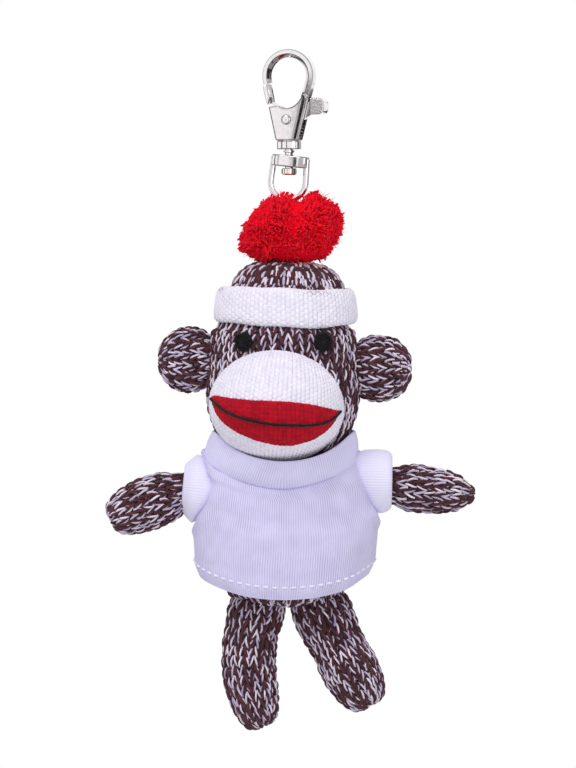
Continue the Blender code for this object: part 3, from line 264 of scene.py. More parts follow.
def weave(surface, closed=True, columns=144, rows=144, low=0.0, high=1.0, evened=True):
    """A table of the surface's points and normals in mm, its shares evened out by real length."""
    u = np.linspace(0, 1, columns + 1)
    v = np.linspace(low, high, rows + 1)
    if evened:
        for _ in range(2):
            points = surface(u[None, :], v[:, None])
            u = even_out(u, np.linalg.norm(np.diff(points, axis=1), axis=2).mean(0))
            v = even_out(v, np.linalg.norm(np.diff(points, axis=0), axis=2).mean(1))
    points = surface(u[None, :], v[:, None])
    if closed:
        wrapped = np.concatenate([points[:, -2:-1], points, points[:, 1:2]], axis=1)
        across = wrapped[:, 2:] - wrapped[:, :-2]
    else:
        across = np.gradient(points, axis=1)
    normals = np.cross(across, np.gradient(points, axis=0))
    sizes = np.linalg.norm(normals, axis=2, keepdims=True)
    normals = np.where(sizes > 1e-9, normals / np.maximum(sizes, 1e-9), 0)
    middle = points.mean((0, 1))
    if ((points - middle) * normals).sum() < 0:
        normals = -normals
    girths = np.linalg.norm(np.diff(points, axis=1), axis=2).sum(1)
    length = np.linalg.norm(np.diff(points, axis=0), axis=2).mean(1).sum()
    return Sheet(points, normals, girths, length, closed)


def lay(sheet, u, v, rise):
    """Points at these shares of a sheet, standing off it by rise, in mm."""
    rows, columns = sheet.points.shape[0] - 1, sheet.points.shape[1] - 1
    x = (np.mod(u, 1) if sheet.closed else np.clip(u, 0, 1)) * columns
    y = np.clip(v, 0, 1) * rows
    i, j = np.minimum(x.astype(int), columns - 1), np.minimum(y.astype(int), rows - 1)
    fx, fy = (x - i)[..., None], (y - j)[..., None]

    def mixed(table):
        low = table[j, i] * (1 - fx) + table[j, i + 1] * fx
        high = table[j + 1, i] * (1 - fx) + table[j + 1, i + 1] * fx
        return low * (1 - fy) + high * fy

    normal = mixed(sheet.normals)
    normal = normal / np.maximum(np.linalg.norm(normal, axis=-1, keepdims=True), 1e-9)
    return mixed(sheet.points) + normal * np.asarray(rise)[..., None]


# Meshes


def linked(name, data):
    """A new object of the scene that holds the data."""
    made = bpy.data.objects.new(name, data)
    bpy.context.scene.collection.objects.link(made)
    return made


def finished(name, mesh, finishes):
    """A new object that holds the mesh, with its materials in order."""
    made = linked(name, mesh)
    for finish in finishes:
        mesh.materials.append(finish)
    mesh.shade_smooth()
    return made


def opened(*meshes):
    """One shape to work on, of all these meshes."""
    shape = bmesh.new()
    for mesh in meshes:
        shape.from_mesh(mesh)
    return shape


def stored(shape, mesh):
    """The mesh, now with this shape."""
    shape.to_mesh(mesh)
    shape.free()
    return mesh


def mesh_from(shape, name, outward=True):
    shape.normal_update()
    if outward:
        bmesh.ops.recalc_face_normals(shape, faces=shape.faces)
    return stored(shape, bpy.data.meshes.new(name))


def applied(thing):
    """Applies the object's modifiers to its mesh."""
    evaluated = thing.evaluated_get(bpy.context.evaluated_depsgraph_get())
    mesh = bpy.data.meshes.new_from_object(evaluated)
    thing.modifiers.clear()
    old, thing.data = thing.data, mesh
    mesh.name = thing.name
    bpy.data.meshes.remove(old)
    return thing


def modifier(thing, kind, **settings):
    made = thing.modifiers.new(kind.lower(), kind)
    for key, value in settings.items():
        setattr(made, key, value)
    return made


def coords(mesh):
    flat = np.zeros(len(mesh.vertices) * 3)
    mesh.vertices.foreach_get("co", flat)
    return flat.reshape(-1, 3)


def set_coords(mesh, places):
    mesh.vertices.foreach_set("co", np.asarray(places, np.float32).ravel())
    mesh.update()


def tubes(name, count, plies=1, sides=6, cuts=5, skin=None):
    """A row of count unit tubes, or of twice and more where each has plies, and the mesh of a skin joined on.

    Returns the mesh and, for one of them, each vertex's place: across, up and along from 0 to 1, and its ply."""
    shape = bmesh.new()
    for ply in range(plies):
        made = bmesh.ops.create_cone(
            shape, cap_ends=True, segments=sides, radius1=1, radius2=1, depth=1,
            matrix=Matrix.Translation((4 * ply, 0, 0)),
        )
        for face in {face for vert in made["verts"] for face in vert.link_faces}:
            face.material_index = ply
    upright = [e for e in shape.edges if abs(e.verts[0].co.z - e.verts[1].co.z) > 0.5]
    bmesh.ops.subdivide_edges(shape, edges=upright, cuts=cuts - 1, use_grid_fill=True)
    unit = mesh_from(shape, name)
    local = coords(unit)
    ply_of = np.round(local[:, 0] / 4)
    local[:, 0] -= 4 * ply_of
    local[:, 2] += 0.5
    holder = finished(name + "_row", unit, [])
    modifier(
        holder, "ARRAY", count=count, use_relative_offset=False, use_constant_offset=True,
        constant_offset_displace=(0, 4, 0),
    )
    mesh = applied(holder).data
    bpy.data.objects.remove(holder)
    if skin is not None:
        shape = opened(mesh)
        before = len(shape.faces)
        shape.from_mesh(skin)
        shape.faces.ensure_lookup_table()
        for face in shape.faces[before:]:
            face.material_index = plies
        stored(shape, mesh)
    return mesh, local, ply_of


def set_shade(mesh, values):
    """Gives each vertex a number from 0 to 1 that its material turns into a lighter or darker yarn."""
    whole = np.full(len(mesh.vertices), 0.5, np.float32)
    whole[: len(values)] = values
    attribute = mesh.attributes.new("tone_and_painted_reflection", "FLOAT", "POINT")
    attribute.data.foreach_set("value", whole)


def form_skin(name, sheet, depth, around=48, rings=36, low=0.0, high=1.0):
    """A closed skin that lies depth under the sheet of a stuffed form."""
    shape = bmesh.new()
    bmesh.ops.create_uvsphere(shape, u_segments=around, v_segments=rings, radius=1)
    places = np.array([vert.co for vert in shape.verts])
    u = np.arctan2(places[:, 1], places[:, 0]) / math.tau
    v = low + (high - low) * (1 - np.arccos(np.clip(places[:, 2], -1, 1)) / math.pi)
    for vert, place in zip(shape.verts, lay(sheet, u, v, np.full(len(u), -depth)) * MM):
        vert.co = place
    return mesh_from(shape, name)


def stitch_rows(sheet, start, end, wale, row, turn, halved=True, keep=None):
    """The stitches of a knit tube between two distances along its sheet, in mm.

    Where the tube draws in, every other wale ends. turn is 1 where the stitches open towards the tip."""
    count = max(round(sheet.girths.max() / wale), 4)
    lines = np.linspace(0, sheet.length, len(sheet.girths))
    u, v, wide, tall = [], [], [], []
    rows = max(round((end - start) / row), 1)
    for step in range(rows):
        along = start + (end - start) * (step + 0.5) / rows
        girth = np.interp(along, lines, sheet.girths)
        number = count
        while halved and girth / number < 0.55 * wale and number > 7:
            number = math.ceil(number / 2)
        for place in range(number):
            u.append((place + 0.5) / number)
            v.append(along / sheet.length)
            wide.append(girth / number)
            tall.append((end - start) / rows)
    made = Stitches(*(np.array(x) for x in (u, v, wide, tall)), turn)
    if keep is not None:
        centres = lay(sheet, made.u, made.v, np.zeros(len(made.u)))
        made = Stitches(*(x[keep(centres)] for x in made[:4]), turn)
    return made


def knit(name, sheet, stitches, yarn, seed, skin=None, deep=None, rough=0.04):
    """The mesh of a knit fabric: two legs of yarn for each stitch, and the skin under them.

    deep is the sheet's own length at each stitch, in mm, where it differs along the sheet."""
    draw = np.random.default_rng(seed)
    count = len(stitches.u)
    mesh, local, ply_of = tubes(name, count * 2, yarn.plies, yarn.sides, yarn.cuts, skin)
    side = np.tile([-1.0, 1.0], count)[:, None]
    u, v, wide, tall = (np.repeat(x, 2)[:, None] for x in stitches[:4])
    jitter = draw.normal(0, rough if yarn.plies > 1 else rough / 3, (2, count)).repeat(2, axis=1)[:, :, None]
    t = local[None, :, 2]
    ease = t * t * (3 - 2 * t)
    slope = 6 * t * (1 - t)
    x = side * wide * (yarn.foot + (yarn.spread - yarn.foot) * ease + jitter[0] * t)
    start = yarn.reach[0] - 0.5 + yarn.stagger * (side > 0)
    y = tall * (start + (yarn.reach[1] - yarn.reach[0]) * t + jitter[1])
    low = np.clip(1 - t / STITCH_PEAK, 0, 1)
    high = np.clip((t - STITCH_PEAK) / (1 - STITCH_PEAK), 0, 1)
    z = yarn.crest - yarn.sinks[0] * low**2 - yarn.sinks[1] * high**2.2
    tangent = np.stack(np.broadcast_arrays(
        side * wide * (yarn.spread - yarn.foot) * slope,
        tall * (yarn.reach[1] - yarn.reach[0]) + 0 * t,
        yarn.sinks[0] * 2 * low / STITCH_PEAK - yarn.sinks[1] * 2.2 * high**1.2 / (1 - STITCH_PEAK),
    ), axis=-1)
    tangent = tangent / np.linalg.norm(tangent, axis=-1, keepdims=True)
    up = np.array([0.0, 0.0, 1.0]) - tangent * tangent[..., 2:3]
    up /= np.linalg.norm(up, axis=-1, keepdims=True)
    across = np.cross(tangent, up)
    phase = draw.uniform(0, math.tau, (count * 2, 1)) * (yarn.plies > 1)
    turns = yarn.turns * draw.uniform(0.55, 1.35, (count * 2, 1))
    uneven = 0.14 if yarn.plies > 1 else 0.04
    phase = phase + side * turns * math.tau * t + ply_of[None, :] * math.tau / yarn.plies
    ply = np.take(yarn.radii, ply_of.astype(int))[None, :] * (yarn.ends + (1 - yarn.ends) * np.sin(math.pi * t))
    ply = ply * draw.uniform(1 - uneven, 1 + uneven, (count * 2, 1))
    sideways = yarn.twist * np.cos(phase) + ply * local[None, :, 0]
    upwards = (yarn.twist * np.sin(phase) + ply * local[None, :, 1]) * yarn.flat
    centre = np.stack(np.broadcast_arrays(x, y, z), axis=-1)
    flat = centre + across * sideways[..., None] + up * upwards[..., None]
    turn = stitches.turn
    girth_share = 1 / np.maximum(np.interp(v, np.linspace(0, 1, len(sheet.girths)), sheet.girths), 1e-3)
    places = lay(
        sheet,
        u + flat[..., 0] * girth_share,
        v + turn * flat[..., 1] / (sheet.length if deep is None else np.repeat(deep, 2)[:, None]),
        flat[..., 2],
    )
    whole = coords(mesh)
    whole[: places.shape[0] * places.shape[1]] = places.reshape(-1, 3) * MM
    set_coords(mesh, whole)
    shades = draw.uniform(0, 1, (count * 2, 1)) + 0 * t
    set_shade(mesh, shades.ravel())
    return mesh


def strands(name, roots, tips, bends, radii, taper, sides, cuts, seed, skin=None, blunt=1.0):
    """Loose strands, each from its root to its tip, bent by its bend and narrowed along it. All in mm."""
    draw = np.random.default_rng(seed)
    count = len(roots)
    mesh, local, _ = tubes(name, count, 1, sides, cuts, skin)
    t = local[None, :, 2:3]
    run = (tips - roots)[:, None, :]
    centre = roots[:, None, :] + run * t + bends[:, None, :] * (4 * t * (1 - t) - 0.8 * t * t)
    heading = run / np.maximum(np.linalg.norm(run, axis=-1, keepdims=True), 1e-9)
    odd = np.where(np.abs(heading[..., 2:3]) > 0.9, [1.0, 0, 0], [0, 0, 1.0])
    across = np.cross(heading, odd)
    across /= np.linalg.norm(across, axis=-1, keepdims=True)
    up = np.cross(heading, across)
    size = radii[:, None, None] * (1 - (1 - taper) * t**blunt)
    places = centre + size * (across * local[None, :, 0:1] + up * local[None, :, 1:2])
    whole = coords(mesh)
    whole[: places.shape[0] * places.shape[1]] = places.reshape(-1, 3) * MM
    set_coords(mesh, whole)
    set_shade(mesh, np.repeat(draw.uniform(0, 1, count), len(local)))
    return mesh


def join(name, meshes):
    """One mesh of several, each with its own faces' material numbers kept."""
    return stored(opened(*meshes), bpy.data.meshes.new(name))


def curve_tube(name, points, radius, resolution=4, closed=False, radii=None):
    """The mesh of a round wire along the points, in mm."""
    curve = bpy.data.curves.new(name, "CURVE")
    curve.dimensions = "3D"
    curve.bevel_depth = radius * MM
    curve.bevel_resolution = resolution
    curve.use_fill_caps = not closed
    spline = curve.splines.new("POLY")
    spline.points.add(len(points) - 1)
    for index, (point, place) in enumerate(zip(spline.points, points)):
        point.co = (*(c * MM for c in place), 1)
        point.radius = 1.0 if radii is None else radii[index]
    spline.use_cyclic_u = closed
    holder = linked(name, curve)
    evaluated = holder.evaluated_get(bpy.context.evaluated_depsgraph_get())
    mesh = bpy.data.meshes.new_from_object(evaluated)
    bpy.data.objects.remove(holder)
    shape = opened(mesh)
    bmesh.ops.remove_doubles(shape, verts=shape.verts, dist=MICRON)
    return mesh_from(shape, name)


def twisted(name, points, radius, plies, pitch, closed=False, shrink=1.0):
    """The mesh of a cord of twisted plies along the points, in mm."""
    points = np.array(points, float)
    if closed:
        points = np.concatenate([points, points[:1]])
    length = run_along(points)[-1]
    count = max(int(length / (pitch / 10)), 24)
    if closed:
        pitch = length / round(length / pitch)
    along = np.linspace(0, length, count + 1)
    line = resampled(points, count + 1)
    heading = np.gradient(line, axis=0)
    heading /= np.linalg.norm(heading, axis=1, keepdims=True)
    odd = np.array([0.13, 0.91, 0.39])
    across = np.cross(heading, odd)
    across /= np.linalg.norm(across, axis=1, keepdims=True)
    up = np.cross(heading, across)
    each = radius / (1 + 1 / math.sin(math.pi / plies)) if plies > 1 else radius
    ring = (radius - each) * 0.95
    made = []
    for ply in range(plies):
        angle = (along / pitch + ply / plies)[:, None] * math.tau
        path = line + ring * (across * np.cos(angle) + up * np.sin(angle))
        if closed:
            path = path[:-1]
        ends = np.ones(len(path))
        if not closed:
            ends[0] = ends[-1] = shrink
        made.append(curve_tube(f"{name}_{ply}", path, each * 1.12, 1, closed, radii=ends))
    return join(name, made)


def cloth(name, sheet, columns, rows, wall, finish, bulge=None):
    """A sheet of cloth as a closed wall. Its UV map is in mm round and along the cloth."""
    shape = bmesh.new()
    uvs = shape.loops.layers.uv.verify()
    bmesh.ops.create_grid(shape, x_segments=columns, y_segments=rows, size=0.5, calc_uvs=True)
    places = np.array([vert.co for vert in shape.verts]) + 0.5
    rise = np.zeros(len(places)) if bulge is None else bulge(places[:, 0], places[:, 1])
    for vert, place in zip(shape.verts, lay(sheet, places[:, 0] * 0.999999, places[:, 1], rise) * MM):
        vert.co = place
    girth = float(sheet.girths.mean())
    for face in shape.faces:
        for loop in face.loops:
            loop[uvs].uv = (loop[uvs].uv.x * girth, loop[uvs].uv.y * sheet.length)
    if sheet.closed:
        bmesh.ops.remove_doubles(shape, verts=shape.verts, dist=0.002 * MM)
    made = finished(name, mesh_from(shape, name, False), [finish])
    middle = coords(made.data).mean(0)
    first = made.data.polygons[len(made.data.polygons) // 2]
    if (Vector(first.center) - Vector(middle)).dot(first.normal) < 0:
        made.data.flip_normals()
    if wall:
        modifier(made, "SOLIDIFY", thickness=wall * MM, offset=-1, use_even_offset=False)
        applied(made)
    made.data.shade_smooth()
    return made


# Materials


def add_node(tree, kind, inputs=(), **settings):
    """A new node with these settings, its inputs joined to sockets or set to values."""
    node = tree.nodes.new(kind)
    for key, value in settings.items():
        setattr(node, key, value)
    for key, value in dict(inputs).items():
        if isinstance(value, bpy.types.NodeSocket):
            tree.links.new(value, node.inputs[key])
        else:
            node.inputs[key].default_value = value
    return node


class Nodes:
    """A material's nodes, made one after another."""

    def __init__(self, name):
        name = "doll_" + name
        self.made = bpy.data.materials.get(name)
        self.fresh = self.made is None
        if self.fresh:
            self.made = bpy.data.materials.new(name)
            self.made.use_nodes = True
        self.tree = self.made.node_tree
        self.shader = self.tree.nodes["Principled BSDF"] if self.fresh else None

    def add(self, kind, inputs=(), **settings):
        return add_node(self.tree, kind, inputs, **settings)

    def place(self):
        return self.add("ShaderNodeTexCoord").outputs["Object"]

    def tone_and_painted_reflection(self):
        return self.add("ShaderNodeAttribute", attribute_name="tone_and_painted_reflection").outputs["Fac"]

    def noise(self, place, scale, detail, rough=0.5):
        sizes = {"Vector": place, "Scale": scale, "Detail": detail, "Roughness": rough}
        return self.add("ShaderNodeTexNoise", sizes).outputs["Fac"]

    def ranged(self, value, low, high, start, end, **settings):
        """A value's run from low to high, stretched to run from start to end."""
        inputs = {0: value, 1: low, 2: high, 3: start, 4: end}
        return self.add("ShaderNodeMapRange", inputs, **settings).outputs[0]

    def maths(self, operation, one, other):
        return self.add("ShaderNodeMath", {0: one, 1: other}, operation=operation).outputs[0]

    def mixed(self, factor, one, other):
        inputs = {0: factor, 6: one, 7: other}
        return self.add("ShaderNodeMix", inputs, data_type="RGBA").outputs[2]

    def bump(self, height, strength, distance):
        inputs = {"Height": height, "Strength": strength, "Distance": distance}
        self.link(self.add("ShaderNodeBump", inputs).outputs["Normal"], "Normal")

    def link(self, output, socket):
        self.tree.links.new(output, self.shader.inputs[socket])

    def fix(self, **values):
        for key, value in values.items():
            self.shader.inputs[key.replace("_", " ")].default_value = value


def opaque(colour, share=1.0):
    return (*(c * share for c in linear(colour)), 1)


def yarn_finish(name, dark, light, fibre=5200, bump=0.5, sheen=0.15, soft=0.0):
    """Spun yarn: each strand a little lighter or darker, with the fine lines of its fibres.

    soft is how far light carries through loose yarn, in metres."""
    nodes = Nodes(name)
    if not nodes.fresh:
        return nodes.made
    place = nodes.place()
    fine, coarse = nodes.noise(place, fibre, 3, 0.7), nodes.noise(place, fibre / 9, 2)
    colour = nodes.mixed(nodes.tone_and_painted_reflection(), opaque(dark), opaque(light))
    colour = nodes.mixed(nodes.ranged(fine, 0.3, 0.7, 0.0, 0.45), colour, opaque(dark, 0.72))
    colour = nodes.mixed(nodes.ranged(coarse, 0.35, 0.7, 0.0, 0.35), colour, opaque(light, 1.04))
    nodes.link(colour, "Base Color")
    nodes.bump(fine, bump, 0.00008)
    nodes.fix(Roughness=0.92, Sheen_Weight=sheen, Sheen_Roughness=0.5, Specular_IOR_Level=0.25)
    if soft:
        nodes.fix(Subsurface_Weight=0.6, Subsurface_Radius=(1.0, 0.1, 0.12), Subsurface_Scale=soft)
        nodes.fix(Specular_IOR_Level=0.0, Sheen_Tint=(*linear(light), 1))
    return nodes.made


def jersey_finish(name, colour, groove, pitch, strength=0.35):
    """Fine jersey: its wales are lines a fraction of a millimetre apart, on the UV map in mm."""
    nodes = Nodes(name)
    if not nodes.fresh:
        return nodes.made
    uv = nodes.add("ShaderNodeUVMap").outputs["UV"]
    place = nodes.place()
    wave, wales, rows = "ShaderNodeTexWave", math.pi / 10 / pitch, math.pi / 10 / (pitch * 0.8)
    sizes = {"Vector": uv, "Scale": wales, "Distortion": 0.25, "Detail": 2, "Detail Scale": 1.6}
    wales = nodes.add(wave, sizes, bands_direction="X").outputs["Fac"]
    sizes = {"Vector": uv, "Scale": rows, "Distortion": 0.8, "Detail": 1}
    rows = nodes.add(wave, sizes, bands_direction="Y").outputs["Fac"]
    fade = nodes.ranged(nodes.noise(place, 190, 3), 0.35, 0.65, 0.35, 1.0)
    lines = nodes.maths("MULTIPLY", nodes.ranged(wales, 0.0, 0.7, 1.0, 0.0), fade)
    base = nodes.mixed(lines, opaque(colour), opaque(groove))
    cloud = nodes.ranged(nodes.noise(place, 260, 2), 0.35, 0.65, 0.0, 0.16)
    nodes.link(nodes.mixed(cloud, base, opaque(groove)), "Base Color")
    fuzz = nodes.maths("MULTIPLY", nodes.noise(place, 4200, 3, 0.65), 0.5)
    height = nodes.maths("ADD", wales, nodes.maths("MULTIPLY", rows, 0.3))
    nodes.bump(nodes.maths("ADD", height, fuzz), strength, 0.00006)
    nodes.fix(Roughness=0.9, Sheen_Weight=0.2, Sheen_Roughness=0.5, Specular_IOR_Level=0.25)
    return nodes.made


def metal_finish(name, colour, rough, worn=0.06, bump=0.0):
    """Bright nickel plate over cast metal, cloudy in its shine, with painted dark reflections mixed in where its
    face attribute asks for them.
    """
    nodes = Nodes(name)
    if not nodes.fresh:
        return nodes.made
    place = nodes.place()
    cloud = nodes.noise(place, 900, 4, 0.6)
    nodes.link(nodes.ranged(cloud, 0.35, 0.7, rough, rough + worn), "Roughness")
    plate = nodes.mixed(nodes.ranged(cloud, 0.4, 0.8, 0.0, 0.35), opaque(colour), opaque(colour, 0.8))
    # The face attribute mixes in a dark grey: painted dark reflections on the bright plate
    nodes.link(nodes.mixed(nodes.tone_and_painted_reflection(), plate, opaque((62, 52, 58))), "Base Color")
    if bump:
        grain = nodes.add("ShaderNodeTexVoronoi", {"Vector": place, "Scale": 2300})
        nodes.bump(grain.outputs["Distance"], bump, 0.0001)
    nodes.fix(Metallic=1.0)
    return nodes.made


# Properties


def length_property(name, description, default):
    return bpy.props.FloatProperty(
        name=name, description=description, default=default * MM, unit="LENGTH", precision=5
    )


class KnitProperties(bpy.types.PropertyGroup):
    marled_wale: length_property("Marled wale", "Width of a stitch in the marled sock knit", 2.9)
    marled_row: length_property("Marled row", "Height of a stitch in the marled sock knit", 2.2)
    white_wale: length_property("White wale", "Width of a stitch in the white knit", 2.35)
    white_row: length_property("White row", "Height of a stitch in the white knit", 1.3)


class PompomProperties(bpy.types.PropertyGroup):
    strands: bpy.props.IntProperty(
        name="Strands", description="How many cut ends of yarn the pompom shows", default=4200, min=200
    )
    strand_radius: length_property("Strand radius", "Half the thickness of a strand of its yarn", 0.46)


class ShirtProperties(bpy.types.PropertyGroup):
    rib_pitch: length_property("Rib pitch", "Distance between two wales of the jersey", 0.6)
    hem_dash: length_property("Hem dash", "Length of a running stitch in the bottom hem", 1.4)
    hem_gap: length_property("Hem gap", "Gap between two running stitches", 0.88)
    cloth_wall: length_property("Cloth thickness", "Thickness of the shirt's jersey", 0.6)


class ClaspProperties(bpy.types.PropertyGroup):
    shine: bpy.props.FloatProperty(
        name="Roughness", description="Roughness of the nickel plate", default=0.07, min=0, max=1, subtype="FACTOR"
    )
    wire: length_property("Hook wire", "Thickness of the hook's wire as seen from the front", 2.0)


class StudioProperties(bpy.types.PropertyGroup):
    floor_drop: length_property("Floor drop", "How far the floor lies below the feet", 30)
    lens: bpy.props.FloatProperty(
        name="Lens", description="Focal length of the camera in millimetres", default=300, min=20
    )


def settings(group):
    return getattr(bpy.context.scene, "doll_" + group)


def marled_finishes():
    return [
        yarn_finish("brown_ply", (50, 22, 32), (94, 49, 61)),
        yarn_finish("white_ply", (164, 144, 184), (252, 243, 255)),
        # The skin under the stitches, darker than the yarn: painted shade in the gaps between stitches
        yarn_finish("brown_painted_gap_shade", (52, 28, 34), (66, 40, 46)),
    ]


def white_finishes():
    return [
        yarn_finish("white_yarn", (236, 231, 249), (248, 244, 255)),
        # The skin under the stitches, greyer than the yarn: painted shade in the gaps between stitches
        yarn_finish("white_painted_gap_shade", (186, 179, 200), (200, 194, 214)),
    ]


def in_muzzle(places, size=1.0):
    """Which of these places, in mm, lie inside the muzzle's mass."""
    offset = places - np.array(MUZZLE_AT)
    x, z = turned(offset[..., 0], offset[..., 2], MUZZLE_ROLL)
    level = np.stack([x, offset[..., 1], z], axis=-1)
    return np.linalg.norm(level / (np.array(MUZZLE_HALVES) * size), axis=-1) < 1


def head_form():
    root, tip = np.array((HEAD_X, 0, HEAD_BASE)), np.array((HEAD_X, 0, HEAD_TOP))
    return Form(root, (root + tip) / 2, tip, *HEAD_HALVES, 0.5, HEAD_SHARES)


def operator(name, label, description, make):
    """An operator class that runs make and raises what it raises."""

    def execute(self, context):
        make()
        return {"FINISHED"}

    return type("DOLL_OT_" + name, (bpy.types.Operator,), {
        "bl_idname": "doll." + name, "bl_label": label, "__doc__": description, "execute": execute,
    })


# Clasp


def plate(name, outline, depth):
    """A flat plate in the XZ plane of the hook, depth thick along Y, in mm."""
    shape = bmesh.new()
    face = shape.faces.new([shape.verts.new((x * MM, -depth / 2 * MM, z * MM)) for x, z in outline])
    grown = bmesh.ops.extrude_face_region(shape, geom=[face])
    verts = [v for v in grown["geom"] if isinstance(v, bmesh.types.BMVert)]
    bmesh.ops.translate(shape, verts=verts, vec=(0, depth * MM, 0))
    return mesh_from(shape, name)


def bevelled(mesh, width, segments=3, angle=0.5):
    shape = opened(mesh)
    edges = [e for e in shape.edges if len(e.link_faces) == 2 and e.calc_face_angle(0) > angle]
    bmesh.ops.bevel(
        shape, geom=edges, offset=width * MM, segments=segments, affect="EDGES", profile=0.5, material=-1
    )
    return stored(shape, mesh)


def split(mesh, spot, across):
    """Divide the faces that a plane crosses."""
    shape = opened(mesh)
    everything = [*shape.verts, *shape.edges, *shape.faces]
    bmesh.ops.bisect_plane(shape, geom=everything, plane_co=spot * MM, plane_no=across)
    return mesh_from(shape, mesh.name)


def cut(mesh, others, operation="DIFFERENCE"):
    """The mesh with the others cut out of it or joined on."""
    thing = finished("cut_target", mesh.copy(), [])
    made = []
    for number, other in enumerate(others):
        cutter = finished(f"cutter_{number}", other, [])
        modifier(thing, "BOOLEAN", operation=operation, object=cutter, solver="EXACT")
        made.append(cutter)
    result = applied(thing).data
    for cutter in [thing, *made]:
        bpy.data.objects.remove(cutter)
    return result


def block(name, low, high):
    shape = bmesh.new()
    bmesh.ops.create_cube(shape, size=1)
    low, high = Vector(low) * MM, Vector(high) * MM
    for vert in shape.verts:
        vert.co = (low + high) / 2 + Vector(a * b for a, b in zip(vert.co, high - low))
    return mesh_from(shape, name)


def drum(name, middle, radii, length, axis="Z", sides=48):
    """A round bar about an axis through middle, in mm. radii are its two half widths."""
    shape = bmesh.new()
    bmesh.ops.create_cone(
        shape, cap_ends=True, segments=sides, radius1=MM, radius2=MM, depth=length * MM
    )
    for vert in shape.verts:
        x, y, z = vert.co.x * radii[0], vert.co.y * radii[1], vert.co.z
        vert.co = Vector((x, y, z) if axis == "Z" else (x, -z, y)) + Vector(middle) * MM
    return mesh_from(shape, name)


def lathe(name, profile, steps=48):
    """A shape turned round Z from its profile of (radius, z) in mm, both ends on the axis."""
    shape = bmesh.new()
    verts = [shape.verts.new((radius * MM, 0, z * MM)) for radius, z in profile]
    edges = [shape.edges.new(pair) for pair in zip(verts, verts[1:])]
    bmesh.ops.spin(
        shape, geom=verts + edges, cent=(0, 0, 0), axis=(0, 0, 1), angle=math.tau, steps=steps,
        use_merge=True,
    )
    bmesh.ops.remove_doubles(shape, verts=shape.verts, dist=MICRON)
    return mesh_from(shape, name)


def placed(mesh, matrix):
    mesh.transform(matrix)
    mesh.update()
    return mesh


def crisp(thing, angle=35):
    """Smooth over its bevels while its flats stay flat."""
    thing.data.shade_smooth()
    thing.data.set_sharp_from_angle(angle=math.radians(angle))
    modifier(thing, "WEIGHTED_NORMAL", keep_sharp=True, weight=80)
    return applied(thing)


def swept(name, line, section, sizes, middle):
    """A bar along a line in the XZ plane. Its section gives places out from the middle and deep, in mm."""
    line = np.array(line, float)
    heading = np.gradient(line, axis=0)
    outward = np.stack([-heading[:, 2], heading[:, 1], heading[:, 0]], axis=1)
    outward /= np.linalg.norm(outward, axis=1, keepdims=True)
    outward *= np.sign(((line - middle) * outward).sum(1, keepdims=True))
    shape = bmesh.new()
    bmesh.ops.create_grid(shape, x_segments=len(line) - 1, y_segments=len(section), size=0.5)
    for vert in shape.verts:
        step = round((vert.co.x + 0.5) * (len(line) - 1))
        out, deep = section[round((vert.co.y + 0.5) * len(section)) % len(section)]
        vert.co = Vector(line[step] + (outward[step] * out + (0, deep, 0)) * sizes[step]) * MM
    bmesh.ops.remove_doubles(shape, verts=shape.verts, dist=MICRON)
    bmesh.ops.holes_fill(shape, edges=[edge for edge in shape.edges if edge.is_boundary])
    return mesh_from(shape, name)


def paint_dark_reflections(mesh, rule):
    """Paints dark reflections: gives each face the darkness that the rule finds for its middle, in mm, and its
    normal.
    """
    attribute = mesh.attributes.new("tone_and_painted_reflection", "FLOAT", "FACE")
    attribute.data.foreach_set("value", [rule(face.center / MM, face.normal) for face in mesh.polygons])
    return mesh


# Points of the two lines past which the housing's face has painted dark reflections, and the way across them
PAINTED_REFLECTION_STARTS = (Vector((2.1, 0, -17.15)), Vector((2.6, 0, -17.15)))
PAINTED_REFLECTION_ACROSS = Vector((7.3, 0, -1.7))


def hook_painted_reflections(spot, normal):
    """Painted dark reflections: inside the eye, most of all at its upper left, along the cast edges and over the
    right of the housing's face.
    """
    if spot.z < HOUSING_BASE + 0.4:
        return edge_painted_reflections(spot, normal)
    if spot.z > -9 or (spot.x < -3.4 and spot.z > -11.9):
        across = Vector((spot.x, 0, spot.z + 5.0)).normalized()
        inward = -normal.dot(across)
        if inward > 0.3 and abs(normal.y) > 0.8:
            return 0.85
        if inward > 0.3:
            return 0.12 + 0.66 * min(max(0.55 * across.z - 0.8 * across.x + 0.1, 0), 1)
        return 0.5 if 0.2 < abs(normal.y) < 0.97 else 0.0
    if 0.12 < abs(normal.y) < 0.99:
        return 0.9 if normal.x < -0.1 else 0.55
    if abs(normal.y) > 0.9 and spot.z < HOUSING_TOP + 1:
        past = [(spot - place).dot(PAINTED_REFLECTION_ACROSS) > 0 for place in PAINTED_REFLECTION_STARTS]
        return 0.4 * past[0] + 0.35 * past[1]
    return 0.25 if abs(normal.y) < 0.3 and normal.x > 0.3 else 0.0


def edge_painted_reflections(spot, normal):
    """Painted dark reflections along rims, and up the two sides of a round piece."""
    if 0.12 < abs(normal.z) < 0.99:
        return 0.65
    return 0.6 if abs(normal.z) < 0.5 and abs(normal.x) > 0.86 else 0.0


# The hook wire's section: a flat face, and a slope on the side of the eye's opening
WIRE_SECTION = (
    (-1.0, -0.5), (-0.28, -1.25), (-0.08, -1.38), (0.7, -1.38), (0.95, -1.12),
    (0.95, 1.12), (0.7, 1.38), (-0.08, 1.38), (-0.28, 1.25), (-1.0, 0.5),
)


